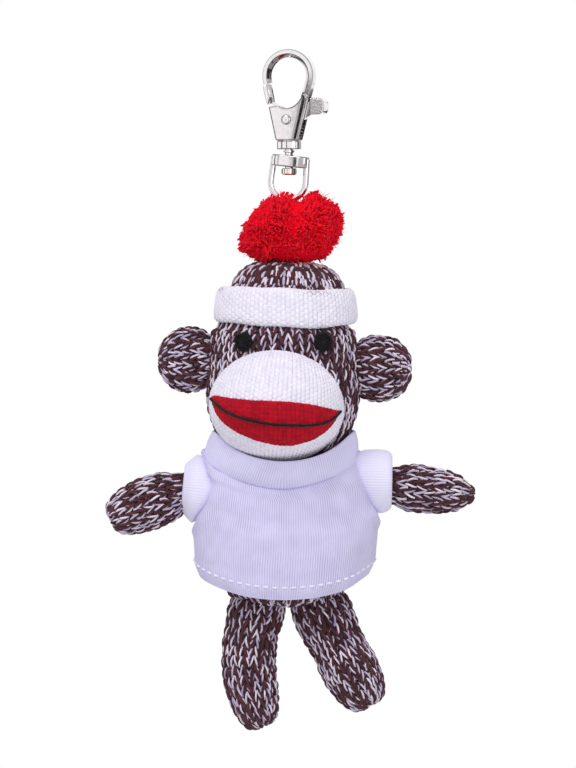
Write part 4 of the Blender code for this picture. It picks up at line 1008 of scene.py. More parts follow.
def make_clasp():
    bright = metal_finish("bright_nickel", (242, 238, 240), settings("clasp").shine)
    stipple = metal_finish("stippled_nickel", (176, 172, 174), 0.3, 0.1, bump=1.1)
    steel = metal_finish("spring_steel", (170, 170, 174), 0.3)
    turn = Matrix.Rotation(HOOK_YAW, 4, "Z")
    wire = settings("clasp").wire / MM
    reach = 4.7 + wire / 2
    centre = wire / 2 - reach
    dip = math.asin((6.65 + centre) / reach)
    points = []
    for step in range(49):
        angle = math.pi + dip - step * (math.pi + 2 * dip) / 48
        points.append((reach * math.cos(angle), 0, centre + reach * math.sin(angle)))
    start, end = Vector(points[-1]), Vector((2.9, 0, HOUSING_TOP - 1))
    middle = Vector((4.7, 0, HOUSING_TOP + 3.2))
    for step in range(1, 17):
        t = step / 16
        points.append(tuple(start * (1 - t) ** 2 + middle * 2 * t * (1 - t) + end * t**2))
    thick = [wire / 2 * (0.95 + 0.13 * min(i / 40, 1)) for i in range(len(points))]
    eye = swept("hook_eye", points, WIRE_SECTION, thick, (0, 0, centre))
    outline = [
        (-4.65, HOUSING_TOP + 0.35), (-2.8, HOUSING_BASE), (2.8, HOUSING_BASE),
        (4.8, HOUSING_TOP), (5.25, HOUSING_TOP + 2.2), (4.9, HOUSING_TOP + 3.4), (4.0, HOUSING_TOP + 3.6),
        (2.9, HOUSING_TOP + 2.6), (0, HOUSING_TOP + 1),
    ]
    bowl = drum("bowl", (0, 0, -6.4), (4.7, 6.4), 12, "Y", 72)
    housing = cut(plate("housing", outline, 5.0), [bowl])
    housing = bevelled(housing, 0.36)
    # Split the housing's face along the two lines of its painted dark reflections
    for place in PAINTED_REFLECTION_STARTS:
        housing = split(housing, place, PAINTED_REFLECTION_ACROSS)
    collar = drum("collar", (0, 0, (HOUSING_BASE + COLLAR_BASE) / 2), (3.05, 2.6), 2.2)
    collar = bevelled(collar, 0.32, 3)
    waist = drum("waist", (0, 0, HOUSING_BASE + 0.05), (2.75, 2.4), 0.7)
    slots = [
        block("slot_middle", (-3.3, -1.1, -19.7), (1.65, 1.1, -3.6)),
        block("slot_left", (-9.8, -1.1, -16.7), (0, 1.1, -3.6)),
        block("slot_right", (0, -1.1, -19.7), (9.8, 1.1, -10.0)),
    ]
    solid = join("snap_hook", [cut(eye, [slots[2].copy()]), cut(housing, slots), collar, waist])
    # Painted dark reflections inside the eye, along the edges and on the housing's face
    hook = finished("snap_hook", placed(paint_dark_reflections(solid, hook_painted_reflections), turn), [bright])
    crisp(hook, 28)
    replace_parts(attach(hook, "hook"), "hook_body")

    foot_x, foot_z = -4.729, HOUSING_TOP + 1.3
    line = [(-5.62, 0, -6.88), (-5.36, 0, -8.3), (-5.02, 0, -9.8), (-4.62, 0, foot_z - 0.2)]
    gate = swept("gate", line, WIRE_SECTION, [0.98, 1.0, 0.97, 0.88], (0, 0, centre))
    # The gate takes the same painted dark reflections as the hook
    gate = bevelled(paint_dark_reflections(gate, hook_painted_reflections), 0.16, 2, 0.9)
    arm = plate("lever_arm", [
        (foot_x + 0.3, foot_z + 0.3), (-1.9, -16.3), (-0.95, -17.6), (0.95, -17.6), (4.2, -15.6),
        (6.6, -14.1), (8.6, -14.1), (8.6, -10.7), (6.2, -10.7), (1.9, -13.8), (0, -13.8),
        (foot_x + 1.2, foot_z + 0.3),
    ], 1.6)
    tab = plate("thumb_tab", [
        (6.0, -14.5), (8.3, -14.5), (9.15, -14.2), (9.65, -13.5), (9.8, -12.4), (9.65, -11.3),
        (9.15, -10.6), (8.3, -10.3), (6.0, -10.3),
    ], 4.4)
    tab = bevelled(tab, 0.3)
    # Painted dark reflections on the tab's bevels
    paint_dark_reflections(tab, lambda spot, normal: 0.7 if 0.3 < abs(normal.y) < 0.93 else 0.0)
    lever = finished("lever", placed(join("lever", [gate, arm, tab]), turn), [bright, stipple])
    face = Vector((0, -1, 0))
    back = turn.inverted()
    for polygon in lever.data.polygons:
        here = back @ polygon.center
        facing = abs((back.to_3x3() @ polygon.normal).dot(face)) > 0.9
        if facing and 6.0 * MM < here.x < 8.9 * MM and here.z > -14.3 * MM:
            polygon.material_index = 1
    crisp(lever, 30)
    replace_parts(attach(lever, "gate"), "gate_lever")

    heads = [
        lathe("rivet_head", [(0, 3.06), (0.8, 3.02), (1.15, 2.84), (1.3, 2.62), (1.0, 2.6), (1.0, 0), (0, 0)])
    ]
    # Painted dark reflections round the rivet head's rim
    paint_dark_reflections(heads[0], lambda spot, normal: 0.55 if 0.1 < normal.z < 0.93 else 0.0)
    heads.append(placed(heads[0].copy(), Matrix.Rotation(math.pi, 4, "X")))
    rivet = join("rivet", heads)
    upright = Matrix.Translation((0, 0, RIVET_Z * MM)) @ Matrix.Rotation(math.pi / 2, 4, "X")
    rivet = finished("rivet", placed(rivet, turn @ upright), [bright])
    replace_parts(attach(crisp(rivet), "hook"), "gate_rivet")

    base = PIN_HEAD_TOP - 1.7
    pin = lathe("pin", [
        (0, COLLAR_BASE + 2.0), (1.0, COLLAR_BASE + 2.0), (1.0, COLLAR_BASE - 0.1), (1.35, COLLAR_BASE - 0.2),
        (1.35, COLLAR_BASE - 0.7), (1.0, COLLAR_BASE - 0.85), (1.0, PIN_HEAD_TOP), (1.7, PIN_HEAD_TOP),
        (1.9, PIN_HEAD_TOP - 0.2), (1.9, base + 0.35), (1.6, base), (0, base - 0.05),
    ])
    # Painted dark reflections in stripes down the stem's sides
    paint_dark_reflections(pin, lambda spot, normal: 0.8 * (normal.x > 0.3 or normal.x < -0.8))
    pin = finished("swivel_stem", pin, [bright])
    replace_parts(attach(crisp(pin), "hook"), "swivel_pin")

    tilt = Matrix.Translation((0, 0, STRAP_Z * MM)) @ turn @ Matrix.Rotation(RING_ROLL, 4, "Y")
    strap = drum("strap", (0, 0, 0), (1, 1), 2.9, sides=96)
    for vert in strap.vertices:
        across, deep = squared(math.atan2(vert.co.y, vert.co.x), 0.5)
        vert.co = (Vector((0.35 + 4.7 * across, 2.0 * deep * abs(deep) ** 0.4, 0)) * MM) + Vector((0, 0, vert.co.z))
    strap = bevelled(strap, 0.35, 3)
    # Painted dark reflections on the strap's rims, its right end and two stripes across its front
    paint_dark_reflections(strap, lambda spot, normal: max(
        edge_painted_reflections(spot, normal), 0.5 * (spot.x > 3.0), 0.35 * (0.1 < spot.x < 0.9), 0.4 * (-2.6 < spot.x < -2.1),
    ))
    hole = drum("strap_hole", (0.35, 0, 0), (1.65, 1.65), 8)
    strap = cut(strap, [hole])
    left, right = 0.35 - 4.1, 0.35 + 4.1
    points = [(left - 0.2, 0, 0.9), (left - 0.25, 0, -0.6), (left - 0.2, 0, -1.6)]
    for step in range(41):
        angle = math.pi + step * math.pi / 40
        points.append((0.35 + 4.6 * math.cos(angle), 0, 4.6 * math.sin(angle) - 5.1))
    points += [(right + 0.2, 0, -1.6), (right + 0.25, 0, -0.6), (right + 0.2, 0, 0.9)]
    points = [tuple(p) for p in smoothed(points, 2)]
    bow = curve_tube("ring_bow", points, 0.74, 5)
    # Painted dark reflections up the sides of the ring's bow
    paint_dark_reflections(bow, lambda spot, normal: 0.5 if abs(normal.x) > 0.8 and spot.z > -6 else 0.0)
    ring = finished("ring", placed(join("ring", [strap, bow]), tilt), [bright])
    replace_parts(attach(crisp(ring, 30), "ring"), "d_ring")

    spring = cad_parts["gate_spring"]
    spring.data.materials.clear()
    spring.data.materials.append(steel)


# Hanging loop and pompom


def make_loop():
    """The thread loop that the doll hangs by, of two twisted plies."""
    radius = 1.4
    foot_z = CROWN_TOP + 0.3 + 0.4 + radius
    points = []
    for step in range(48):
        angle = step * math.tau / 48
        level = RING_AT[2] if step <= 24 else foot_z
        reach = radius * math.cos(angle)
        points.append((
            RING_AT[0] - reach * math.sin(HOOK_YAW), RING_AT[1] + reach * math.cos(HOOK_YAW),
            level + radius * math.sin(angle),
        ))
    mesh = twisted("thread_loop", points, 0.4, 2, 1.5, closed=True)
    loop = finished("thread_loop", mesh, white_finishes()[:1])
    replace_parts(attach(loop, "head"), "hanging_loop")


def make_pompom():
    """Two lobes of cut red yarn that meet in a cleft."""
    draw = np.random.default_rng(11)
    count = settings("pompom").strands
    index = np.arange(count) + 0.5
    polar = np.arccos(1 - 2 * index / count)
    spin = math.pi * (1 + 5**0.5) * index
    heading = np.stack([np.cos(spin) * np.sin(polar), np.sin(spin) * np.sin(polar), np.cos(polar)], axis=1)
    heading += draw.normal(0, 0.07, heading.shape)
    heading /= np.linalg.norm(heading, axis=1, keepdims=True)
    flat = np.hypot(heading[:, 0], heading[:, 1])
    full = np.maximum(flat, 1e-6) ** (0.78 - 1)
    cleft_x = heading[:, 0] - 0.1
    cleft = np.exp(-((cleft_x / 0.17) ** 2)) * np.clip(heading[:, 2] + 0.35, 0, 1)
    size = 1 - 0.2 * cleft
    middle = np.array(POMPOM_AT)
    halves = np.array(POMPOM_HALVES)
    tips = middle + heading * halves * np.stack([full, full, np.ones(count)], axis=1) * size[:, None]
    # The left lobe spreads at its foot and the right lobe at its top
    lean = (tips[:, 2] - middle[2]) * np.where(cleft_x > 0, 0.12, 0.5) + np.where(cleft_x > 0, -0.3, 0.9)
    tips[:, 0] += lean * np.abs(heading[:, 0])
    lobes = middle + np.stack([np.where(cleft_x > 0, 4.4, -4.4), np.zeros(count), np.full(count, -1.6)], axis=1)
    run = tips - lobes
    clump = heading * 4.1
    swirl = np.stack([np.sin(clump[:, 1] * 3 + 1), np.sin(clump[:, 2] * 3 + 2), np.sin(clump[:, 0] * 3)], axis=1)
    uneven = 0.035 * np.sin(clump @ np.array((5.1, 3.3, 4.7)))
    stretch = 0.99 + uneven + draw.normal(0, 0.03, count) + (draw.uniform(0, 1, count) > 0.975) * 0.06
    tips = lobes + run * stretch[:, None]
    tips[:, 2] = np.maximum(tips[:, 2], -52.0 + draw.uniform(0, 0.8, count))
    roots = lobes + run * draw.uniform(0.28, 0.4, (count, 1))
    bends = swirl * 0.7 + draw.normal(0, 0.35, (count, 3))
    across = np.array([math.cos(HOOK_YAW), math.sin(HOOK_YAW), 0])
    through = np.array([-math.sin(HOOK_YAW), math.cos(HOOK_YAW), 0])
    keep = np.ones(count, bool)
    for part in (0.55, 0.8, 1.0, 1.06):
        spot = roots + (tips - roots) * part - np.array(RING_AT)
        width = 1.4 + np.maximum(spot[:, 2], 0) * 1.0
        inside = (np.abs(spot @ across) < 6.3) & (np.abs(spot @ through) < width) & (spot[:, 2] > -1.1)
        shaft = (np.hypot(spot[:, 0], spot[:, 1]) < 2.3) & (spot[:, 2] > -15)
        keep &= ~inside & ~shaft
    form = Form(
        middle - (0, 0, 8.6), middle, middle + (0, 0, 6.6), 11.3, 10.8, 0.6, ((0, 1.0), (1, 1.0))
    )
    core_sheet = weave(form_surface(form), True, 48, 48)
    core = form_skin("pompom_core", core_sheet, 0, 28, 16)
    notch_low, notch_high = (-7, -1.5, RING_AT[2] - 1.2), (7, 1.5, -30)
    notch = placed(block("notch", notch_low, notch_high), Matrix.Rotation(HOOK_YAW, 4, "Z"))
    bore = drum("bore", (RING_AT[0], RING_AT[1], -42), (2.3, 2.3), 40, sides=24)
    core = cut(core, [notch, bore])
    radii = draw.normal(settings("pompom").strand_radius / MM, 0.04, count)
    mesh = strands(
        "pompom_yarn", roots[keep], tips[keep], bends[keep], radii[keep], 0.5, 4, 4, 12, core, 2.5
    )
    red = yarn_finish("red_yarn", (250, 12, 34), (255, 40, 62), bump=0.4, sheen=1.0, soft=0.0008)
    deep = yarn_finish("red_depth", (246, 8, 30), (255, 22, 46), sheen=1.0, soft=0.0008)
    pompom = finished("yarn_pompom", mesh, [red, deep])
    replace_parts(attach(pompom, "head"), "pompom", "pompom_tie")
    stray = np.flatnonzero(keep & (draw.uniform(0, 1, count) > 0.6))
    ends = tips[stray]
    spread = heading[stray] * draw.uniform(0.2, 0.8, (len(stray), 1)) + draw.normal(0, 0.35, (len(stray), 3))
    starts = ends - heading[stray] * 0.9 + draw.normal(0, 0.25, (len(stray), 3))
    mesh = strands(
        "pompom_fuzz", starts, ends + spread, draw.normal(0, 0.25, (len(stray), 3)),
        np.full(len(stray), 0.1), 0.4, 3, 3, 13,
    )
    fuzz = finished("pompom_fuzz", mesh, [red])
    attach(fuzz, "head")


# Hat


def make_hat():
    knit_sizes = settings("knit")
    form = head_form()
    form = form._replace(bend=form.bend + (0.5, 0, 0), tip=form.tip + (1.6, 0, 0))
    sheet = weave(form_surface(form, 1.5))
    heights = sheet.points[:, :, 2].mean(1)
    start = np.interp(RIM_Z - 0.5, heights, np.linspace(0, sheet.length, len(heights)))
    stitches = stitch_rows(
        sheet, start, sheet.length - 1.2, 2.45, knit_sizes.marled_row / MM, 1
    )
    shape = opened(form_skin("crown_cap", sheet, 0.64, 64, 48))
    bmesh.ops.bisect_plane(
        shape, geom=shape.verts[:] + shape.edges[:] + shape.faces[:], plane_co=(0, 0, RIM_Z * MM),
        plane_no=(0, 0, 1), clear_inner=True,
    )
    bmesh.ops.recalc_face_normals(shape, faces=shape.faces)
    bmesh.ops.solidify(shape, geom=shape.faces[:], thickness=0.35 * MM)
    cap = mesh_from(shape, "crown_cap")
    crown = finished("knit_crown", knit("knit_crown", sheet, stitches, PALE_MARLED, 21, cap), marled_finishes())
    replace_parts(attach(crown, "head"), "hat_crown")

    roll = math.radians(1.3)
    thick = 2.3

    def rolled(x, y, up, angle):
        """The band is tallest in front and leans a little to the right."""
        front = np.abs(np.sin(angle)) ** 1.5
        high = up * (4.4 + 0.55 * front) - 61.9 - 1.0 * front
        return np.stack(np.broadcast_arrays(
            x * math.cos(roll) - 0.8, y, high - x * math.sin(roll)
        ), axis=-1)

    def band_surface(u, v):
        """From the inside of the top edge, over it, down the face and round the bottom edge."""
        u, v = paired(u, v)
        angle = math.pi / 2 + u * math.tau
        around = (v - 0.5) * 2 * math.radians(128)
        out = np.sign(np.cos(around)) * np.abs(np.cos(around)) ** 0.55 * thick
        up = -np.sign(np.sin(around)) * np.abs(np.sin(around)) ** 0.62
        up = up + 0.04 * np.sin(angle * 3 + 1.3) + 0.03 * np.sin(angle * 7)
        taper = 1 - 0.03 * up
        return rolled(
            (17.9 - thick + out) * taper * np.cos(angle), (16.4 - thick + out) * taper * np.sin(angle),
            up, angle,
        )

    sheet = weave(band_surface)
    stitches = stitch_rows(
        sheet, 0.2, sheet.length - 0.2, knit_sizes.white_wale / MM, knit_sizes.white_row / MM, -1, False
    )

    def ring_surface(u, v):
        angle = math.pi / 2 + u * math.tau
        around = v * math.tau
        out = np.sign(np.cos(around)) * np.abs(np.cos(around)) ** 0.6 * (thick - 0.52)
        up = np.sign(np.sin(around)) * np.abs(np.sin(around)) ** 0.6 * 0.9
        return rolled(
            (17.9 - thick + out) * np.cos(angle), (16.4 - thick + out) * np.sin(angle), up, angle
        )

    ring = weave(ring_surface, True, 96, 40, evened=False)
    shape = bmesh.new()
    bmesh.ops.create_grid(shape, x_segments=72, y_segments=20, size=0.5)
    places = np.array([vert.co for vert in shape.verts]) + 0.5
    spots = lay(ring, places[:, 0] * 0.999999, places[:, 1], np.zeros(len(places)))
    for vert, spot in zip(shape.verts, spots):
        vert.co = spot * MM
    bmesh.ops.remove_doubles(shape, verts=shape.verts, dist=0.004 * MM)
    under = mesh_from(shape, "band_skin")
    band = finished(
        "knit_band", knit("knit_band", sheet, stitches, WHITE_RIB, 22, under), white_finishes()
    )
    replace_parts(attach(band, "head"), "hat_band")


# Head


def make_head():
    knit_sizes = settings("knit")
    sheet = weave(form_surface(head_form()))
    heights = sheet.points[:, :, 2].mean(1)
    lines = np.linspace(0, sheet.length, len(heights))
    start, end = np.interp(NECK_Z + 0.6, heights, lines), np.interp(RIM_Z - 1.0, heights, lines)

    def outside(places):
        return ~(in_muzzle(places, 0.93) & (places[:, 1] < 0))

    stitches = stitch_rows(
        sheet, start, end, knit_sizes.marled_wale / MM, knit_sizes.marled_row / MM, 1, keep=outside
    )
    skin = form_skin("head_under", sheet, 0.64, 64, 48, 0.004, 0.996)
    head = finished("knit_head", knit("knit_head", sheet, stitches, MARLED, 31, skin), marled_finishes())
    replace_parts(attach(head, "head"), "head_skin", "head_stuffing")


def make_ears():
    knit_sizes = settings("knit")
    for side, sign in SIDES.items():
        reach = EAR_REACHES[side]
        half = (reach + EAR_THICK / 2) / 2
        tip = np.array((EAR_X[side] + sign * reach, 0, EAR_MIDDLES[side]))
        root = tip - np.array((sign * 2 * half, 0, 0))
        form = Form(root, (root + tip) / 2, tip, EAR_HEIGHTS[side] / 2, EAR_THICK / 2, 0.92, EAR_SHARES)
        sheet = weave(form_surface(form))
        spots = np.abs(sheet.points[:, :, 0].mean(1) - root[0])
        lines = np.linspace(0, sheet.length, len(spots))
        start = np.interp(abs(EAR_X[side] - root[0]) - 2.4, spots, lines)
        stitches = stitch_rows(
            sheet, start, sheet.length - 0.9, knit_sizes.marled_wale / MM, knit_sizes.marled_row / MM, 1
        )
        low = start / sheet.length
        skin = form_skin("ear_under_" + side, sheet, 0.7, 36, 24, low, 0.998)
        name = "knit_ear_" + side
        mesh = knit(name, sheet, stitches, MARLED, 41 + sign, skin)
        ear = finished(name, mesh, marled_finishes())
        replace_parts(ear, "ear_" + side, f"ear_{side}_stuffing")
        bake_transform(ear)


def make_eyes():
    """Round pads of black felt with a soft edge."""
    felt = yarn_finish("black_felt", (18, 15, 22), (32, 29, 38), bump=0.8, sheen=0.1)
    head = form_surface(head_form())
    for side, x in (("left", -11.2), ("right", 8.2)):
        draw = np.random.default_rng(51)
        share = (EYE_Z - HEAD_BASE) / (HEAD_TOP - HEAD_BASE)
        u = np.linspace(0.3, 0.7, 400)
        ring = head(u, np.full(400, share))
        spot = ring[np.argmin(np.abs(ring[:, 0] - x))]
        normal = Vector(((spot[0] - HEAD_X) / HEAD_HALVES[0]**2, spot[1] / HEAD_HALVES[1]**2, 0)).normalized()
        across = Vector((0, 0, 1)).cross(normal).normalized()
        shape = bmesh.new()
        bmesh.ops.create_uvsphere(shape, u_segments=40, v_segments=20, radius=1)
        for vert in shape.verts:
            flat = math.hypot(vert.co.x, vert.co.y)
            swell = 1 + 0.03 * math.sin(5 * math.atan2(vert.co.y, vert.co.x) + x)
            local_x, local_z = vert.co.x * 2.3 * swell, vert.co.y * 2.45 * swell
            rise = vert.co.z * (1.35 if vert.co.z > 0 else 0.8) * (1 - 0.12 * flat**6) - 0.1
            bend = -(local_x**2) / 38
            place = Vector(spot) + across * local_x + Vector((0, 0, local_z)) + normal * (rise + bend)
            vert.co = place * MM
        pad = mesh_from(shape, "eye_pad")
        count = 700
        angle, far = draw.uniform(0, math.tau, count), np.sqrt(draw.uniform(0.1, 1.0, count)) * 2.2
        a, n = np.array(across), np.array(normal)
        flat_x, flat_z = np.cos(angle) * far, np.sin(angle) * far
        lift = 1.2 * np.sqrt(np.clip(1 - (far / 2.3) ** 2, 0, 1)) - 0.15 - flat_x**2 / 38
        roots = np.array(spot) + flat_x[:, None] * a + flat_z[:, None] * [0, 0, 1] + lift[:, None] * n
        spread = draw.normal(0, 0.34, (count, 3)) + n * 0.35
        spread += (flat_x[:, None] * a + flat_z[:, None] * [0, 0, 1]) * 0.13
        bends = draw.normal(0, 0.16, (count, 3))
        mesh = strands("eye", roots, roots + spread, bends, np.full(count, 0.07), 0.5, 3, 3, 52, pad)
        eye = finished("felt_eye_" + side, mesh, [felt, felt])
        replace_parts(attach(eye, "head"), "eye_" + side)


# Muzzle

# Outline of the red lips as seen from the front, in mm
LIP_TOP = ((-19.6, -84.6), (-18.6, -84.2), (-15, -84.9), (-9, -85.5), (0, -85.8), (6, -86.6), (12.7, -88.1))
LIP_BASE = (
    (-19.6, -85.5), (-18.6, -88.9), (-16.5, -91.5), (-13, -93.9), (-8, -96.0), (-3, -97.1), (1, -97.2),
    (6, -95.8), (9.5, -93.6), (11.8, -91.0), (12.9, -88.2),
)
MOUTH = (
    (-19.5, -85.3), (-16.8, -87.8), (-14, -89.4), (-9, -90.9), (-3.3, -91.8), (4, -92.0),
    (8.3, -91.7), (11.2, -90.4), (12.9, -88.4),
)


def pushed(x, y, z, grow, far):
    """The muzzle's depth at x and z: its dome, or a layer of cloth over the head where that is further out."""
    share = np.clip((z - HEAD_BASE) / (HEAD_TOP - HEAD_BASE), 0.01, 0.99)
    size = (2 * np.sqrt(share * (1 - share))) ** 0.5 * share_at(HEAD_SHARES, share)
    side = np.clip(np.abs(x - HEAD_X) / (HEAD_HALVES[0] * size), 0, 1)
    head = HEAD_HALVES[1] * size * np.sqrt(1 - side**2) + 1.3 + grow - 2.0 * far**8
    return -0.45 * np.logaddexp(-y / 0.45, head / 0.45)


def muzzle_dome(grow):
    """The muzzle as a dome of cloth: wales run up and down, evenly across the front."""
    a, b, c = (half + grow for half in MUZZLE_HALVES)

    def place(u, v):
        u, v = paired(u, v)
        s, t = (u - 0.5) * 2 * MUZZLE_REACH, (v - 0.5) * 2 * MUZZLE_REACH
        far = np.hypot(s, t)
        angle = np.clip(far, 0, MUZZLE_REACH)
        ratio = np.sin(angle) / np.maximum(far, 1e-9)
        rx, rz = a * s * ratio, c * t * ratio
        x, z = turned(rx, rz, -MUZZLE_ROLL)
        x, z = x + MUZZLE_AT[0], z + MUZZLE_AT[2]
        y = pushed(x, MUZZLE_AT[1] - b * np.cos(angle), z, grow, angle / (math.pi / 2))
        return np.stack([x, y, z], axis=-1)

    return place


def muzzle_front(x, z, grow):
    """Points of the muzzle's face at these places as seen from the front."""
    a, b, c = (half + grow for half in MUZZLE_HALVES)
    dx, dz = x - MUZZLE_AT[0], z - MUZZLE_AT[2]
    rx, rz = turned(dx, dz, MUZZLE_ROLL)
    out = np.clip(np.hypot(rx / a, rz / c), 0, 0.9999)
    y = MUZZLE_AT[1] - b * np.sqrt(1 - out**2)
    y = pushed(x, y, z, grow, np.arcsin(out) / (math.pi / 2))
    return np.stack([x, y, z], axis=-1)


def make_muzzle():
    """The white knit muzzle, the red knit lips across it and the black yarn of the mouth."""
    knit_sizes = settings("knit")
    wale, row = knit_sizes.white_wale / MM, knit_sizes.white_row / MM
    sheet = weave(muzzle_dome(0.25), False, 160, 160, evened=False)
    wide, tall = 2 * MUZZLE_REACH * 16.4, 2 * MUZZLE_REACH * 14.4
    columns, rows = round(wide / wale), round(tall / row)
    u, v = np.meshgrid((np.arange(columns) + 0.5) / columns, (np.arange(rows) + 0.5) / rows)
    u, v = u.ravel(), v.ravel()
    spots = lay(sheet, u, v, np.zeros(len(u)))
    far = np.hypot(u - 0.5, v - 0.5) * 2 * MUZZLE_REACH
    shown = (far < 1.62) | ((far < 1.9) & (spots[:, 2] < MUZZLE_AT[2] - 4))
    u, v = u[shown], v[shown]
    stitches = Stitches(u, v, np.full(len(u), wide / columns), np.full(len(u), tall / rows), 1)
    flat_sheet = sheet._replace(girths=np.full(len(sheet.girths), wide), length=tall)
    under = weave(muzzle_dome(-0.28), False, 96, 96, evened=False)
    shape = bmesh.new()
    bmesh.ops.create_uvsphere(shape, u_segments=56, v_segments=32, radius=1)
    for vert in shape.verts:
        flat = math.hypot(vert.co.x, vert.co.z)
        angle = math.atan2(flat, -vert.co.y)
        reach = min(angle, 1.9) / MUZZLE_REACH / 2 / max(flat, 1e-9)
        spot = lay(under, np.array(0.5 + vert.co.x * reach), np.array(0.5 + vert.co.z * reach), np.array(0.0))
        back = max(angle - 1.9, 0) * 6
        vert.co = Vector(spot + (0, back, 0)) * MM
    bmesh.ops.remove_doubles(shape, verts=shape.verts, dist=MICRON)
    skin = mesh_from(shape, "muzzle_skin")
    mesh = knit("knit_muzzle", flat_sheet, stitches, WHITE_RIB, 61, skin)
    muzzle = finished("knit_muzzle", mesh, white_finishes())
    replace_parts(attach(muzzle, "head"), "muzzle", "muzzle_stuffing")

    top, base = np.array(LIP_TOP), np.array(LIP_BASE)
    across = np.linspace(top[0, 0], top[-1, 0], 120)
    ends = ((across - across[0]) * (across[-1] - across))[:, None] > 0
    upper = smoothed(np.stack([across, np.interp(across, *top.T)], axis=1), 8)
    lower = smoothed(np.stack([across, np.interp(across, *base.T)], axis=1), 8)
    lower[:, 1] = np.where(ends[:, 0], lower[:, 1], upper[:, 1] - 0.4)

    def lip_surface(u, v):
        u, v = paired(u, v)
        place = u * (len(across) - 1)
        high = np.interp(place, np.arange(len(across)), upper[:, 1])
        low = np.interp(place, np.arange(len(across)), lower[:, 1])
        x = np.interp(place, np.arange(len(across)), across)
        edge = 1 - np.abs(2 * v - 1) ** 6
        front = muzzle_front(x, low + (high - low) * v, 0.25)
        front[..., 1] -= 0.25 + 0.6 * edge * np.minimum(1, (high - low) / 3)
        return front

    lip_sheet = weave(lip_surface, False, 160, 60)
    heights = np.linalg.norm(np.diff(lip_sheet.points, axis=0), axis=2).sum(0)
    columns = round(lip_sheet.girths.mean() / (wale * 0.96))
    u, v, tall, deep = [], [], [], []
    for column in range(columns):
        share = (column + 0.5) / columns
        height = np.interp(share, np.linspace(0, 1, len(heights)), heights)
        count = max(round(height / row), 1)
        for place in range(count):
            u.append(share)
            v.append((place + 0.5) / count)
            tall.append(height / count)
            deep.append(height)
    wide = np.full(len(u), lip_sheet.girths.mean() / columns)
    stitches = Stitches(np.array(u), np.array(v), wide, np.array(tall), 1)
    flat_sheet = lip_sheet._replace(girths=np.full(len(lip_sheet.girths), lip_sheet.girths.mean()))
    mesh = knit("knit_lips", flat_sheet, stitches, RED_RIB, 62, deep=np.array(deep))
    red = yarn_finish("red_knit", (160, 2, 28), (196, 8, 38), bump=0.6, sheen=0.0)
    lips = finished("knit_lips", mesh, [red, red])
    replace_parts(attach(lips, "head"), "lips")

    line = np.array(MOUTH)
    along = np.linspace(0, run_along(line)[-1], 80)
    line = smoothed(resampled(line, 80), 12)
    points = muzzle_front(line[:, 0], line[:, 1], 0.25)
    points[:, 1] -= 0.95 - 0.5 * np.abs(np.linspace(-1, 1, 80)) ** 8 - 0.1 * np.sin(along * math.tau / 2.6)
    black = yarn_finish("black_yarn", (14, 10, 14), (34, 24, 30), bump=0.7)
    mouth = finished("mouth_yarn", twisted("mouth_yarn", points, 0.4, 3, 1.9, shrink=0.3), [black])
    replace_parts(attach(mouth, "head"), "mouth_line")


# Body and limbs


def make_torso():
    knit_sizes = settings("knit")
    root, tip = np.array((TORSO_X, 0, TORSO_TOP)), np.array((TORSO_X, 0, TORSO_BASE))
    form = Form(root, (root + tip) / 2, tip, 17.5, 12.2, 0.5, TORSO_SHARES)
    sheet = weave(form_surface(form))
    stitches = stitch_rows(
        sheet, sheet.length * 0.42, sheet.length - 1.5, knit_sizes.marled_wale / MM,
        knit_sizes.marled_row / MM, -1,
    )
    skin = form_skin("torso_under", sheet, 0.62, 56, 40, 0.03, 0.997)
    torso = finished("knit_torso", knit("knit_torso", sheet, stitches, MARLED, 71, skin), marled_finishes())
    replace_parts(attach(torso, "torso"), "torso_skin", "torso_stuffing")


def make_arms():
    knit_sizes = settings("knit")
    for side, sign in SIDES.items():
        spine, half, shares = ARMS[side]
        form = Form(*spine, half, half, 0.5, shares)
        sheet = weave(form_surface(form))
        stitches = stitch_rows(
            sheet, 3.4, sheet.length - 0.9, knit_sizes.marled_wale / MM, knit_sizes.marled_row / MM * 1.1, -1
        )
        skin = form_skin("arm_under_" + side, sheet, 0.62, 44, 36, 0, 0.998)
        name = "knit_arm_" + side
        arm = finished(name, knit(name, sheet, stitches, MARLED, 81 + sign, skin), marled_finishes())
        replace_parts(arm, "arm_" + side, f"arm_{side}_stuffing")
        bent_at_shoulder(arm)


def make_legs():
    knit_sizes = settings("knit")
    for side, sign in SIDES.items():
        spine, half, shares = LEGS[side]
        form = Form(*spine, half, half * 0.93, 0.52, shares)
        sheet = weave(form_surface(form))
        stitches = stitch_rows(
            sheet, 1.2, sheet.length - 0.9, knit_sizes.marled_wale / MM, knit_sizes.marled_row / MM * 1.03, -1
        )
        skin = form_skin("leg_under_" + side, sheet, 0.62, 44, 40, 0.002, 0.998)
        name = "knit_leg_" + side
        leg = finished(name, knit(name, sheet, stitches, DARK_MARLED, 91 + sign, skin), marled_finishes())
        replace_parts(leg, "leg_" + side, f"leg_{side}_stuffing")
        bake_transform(leg)


# Shirt


def seam_height(front):
    """Height in mm of the seam between shirt and collar; front is -1 at the chest and 1 at the back."""
    return -98.4 + np.where(front < 0, 9.0 * ((1 - np.abs(front)) ** 0.8 - 1), 2.5 * front)


def collar_height(front):
    """Height in mm of the collar's fold."""
    rise = 11.5 * (1 - np.abs(front))
    rise = -1.2 * np.logaddexp(-rise / 1.2, -7.4 / 1.2)
    return -101.3 + np.where(front < 0, rise, rise.max() + 0 * front) + 1.5 * np.maximum(front, 0)


def hem_height(front):
    return -128.6 - 6.6 * np.abs(front) ** 1.25


# Half width in mm of the fold round each armhole
ARMHOLE_FOLD = 10.2


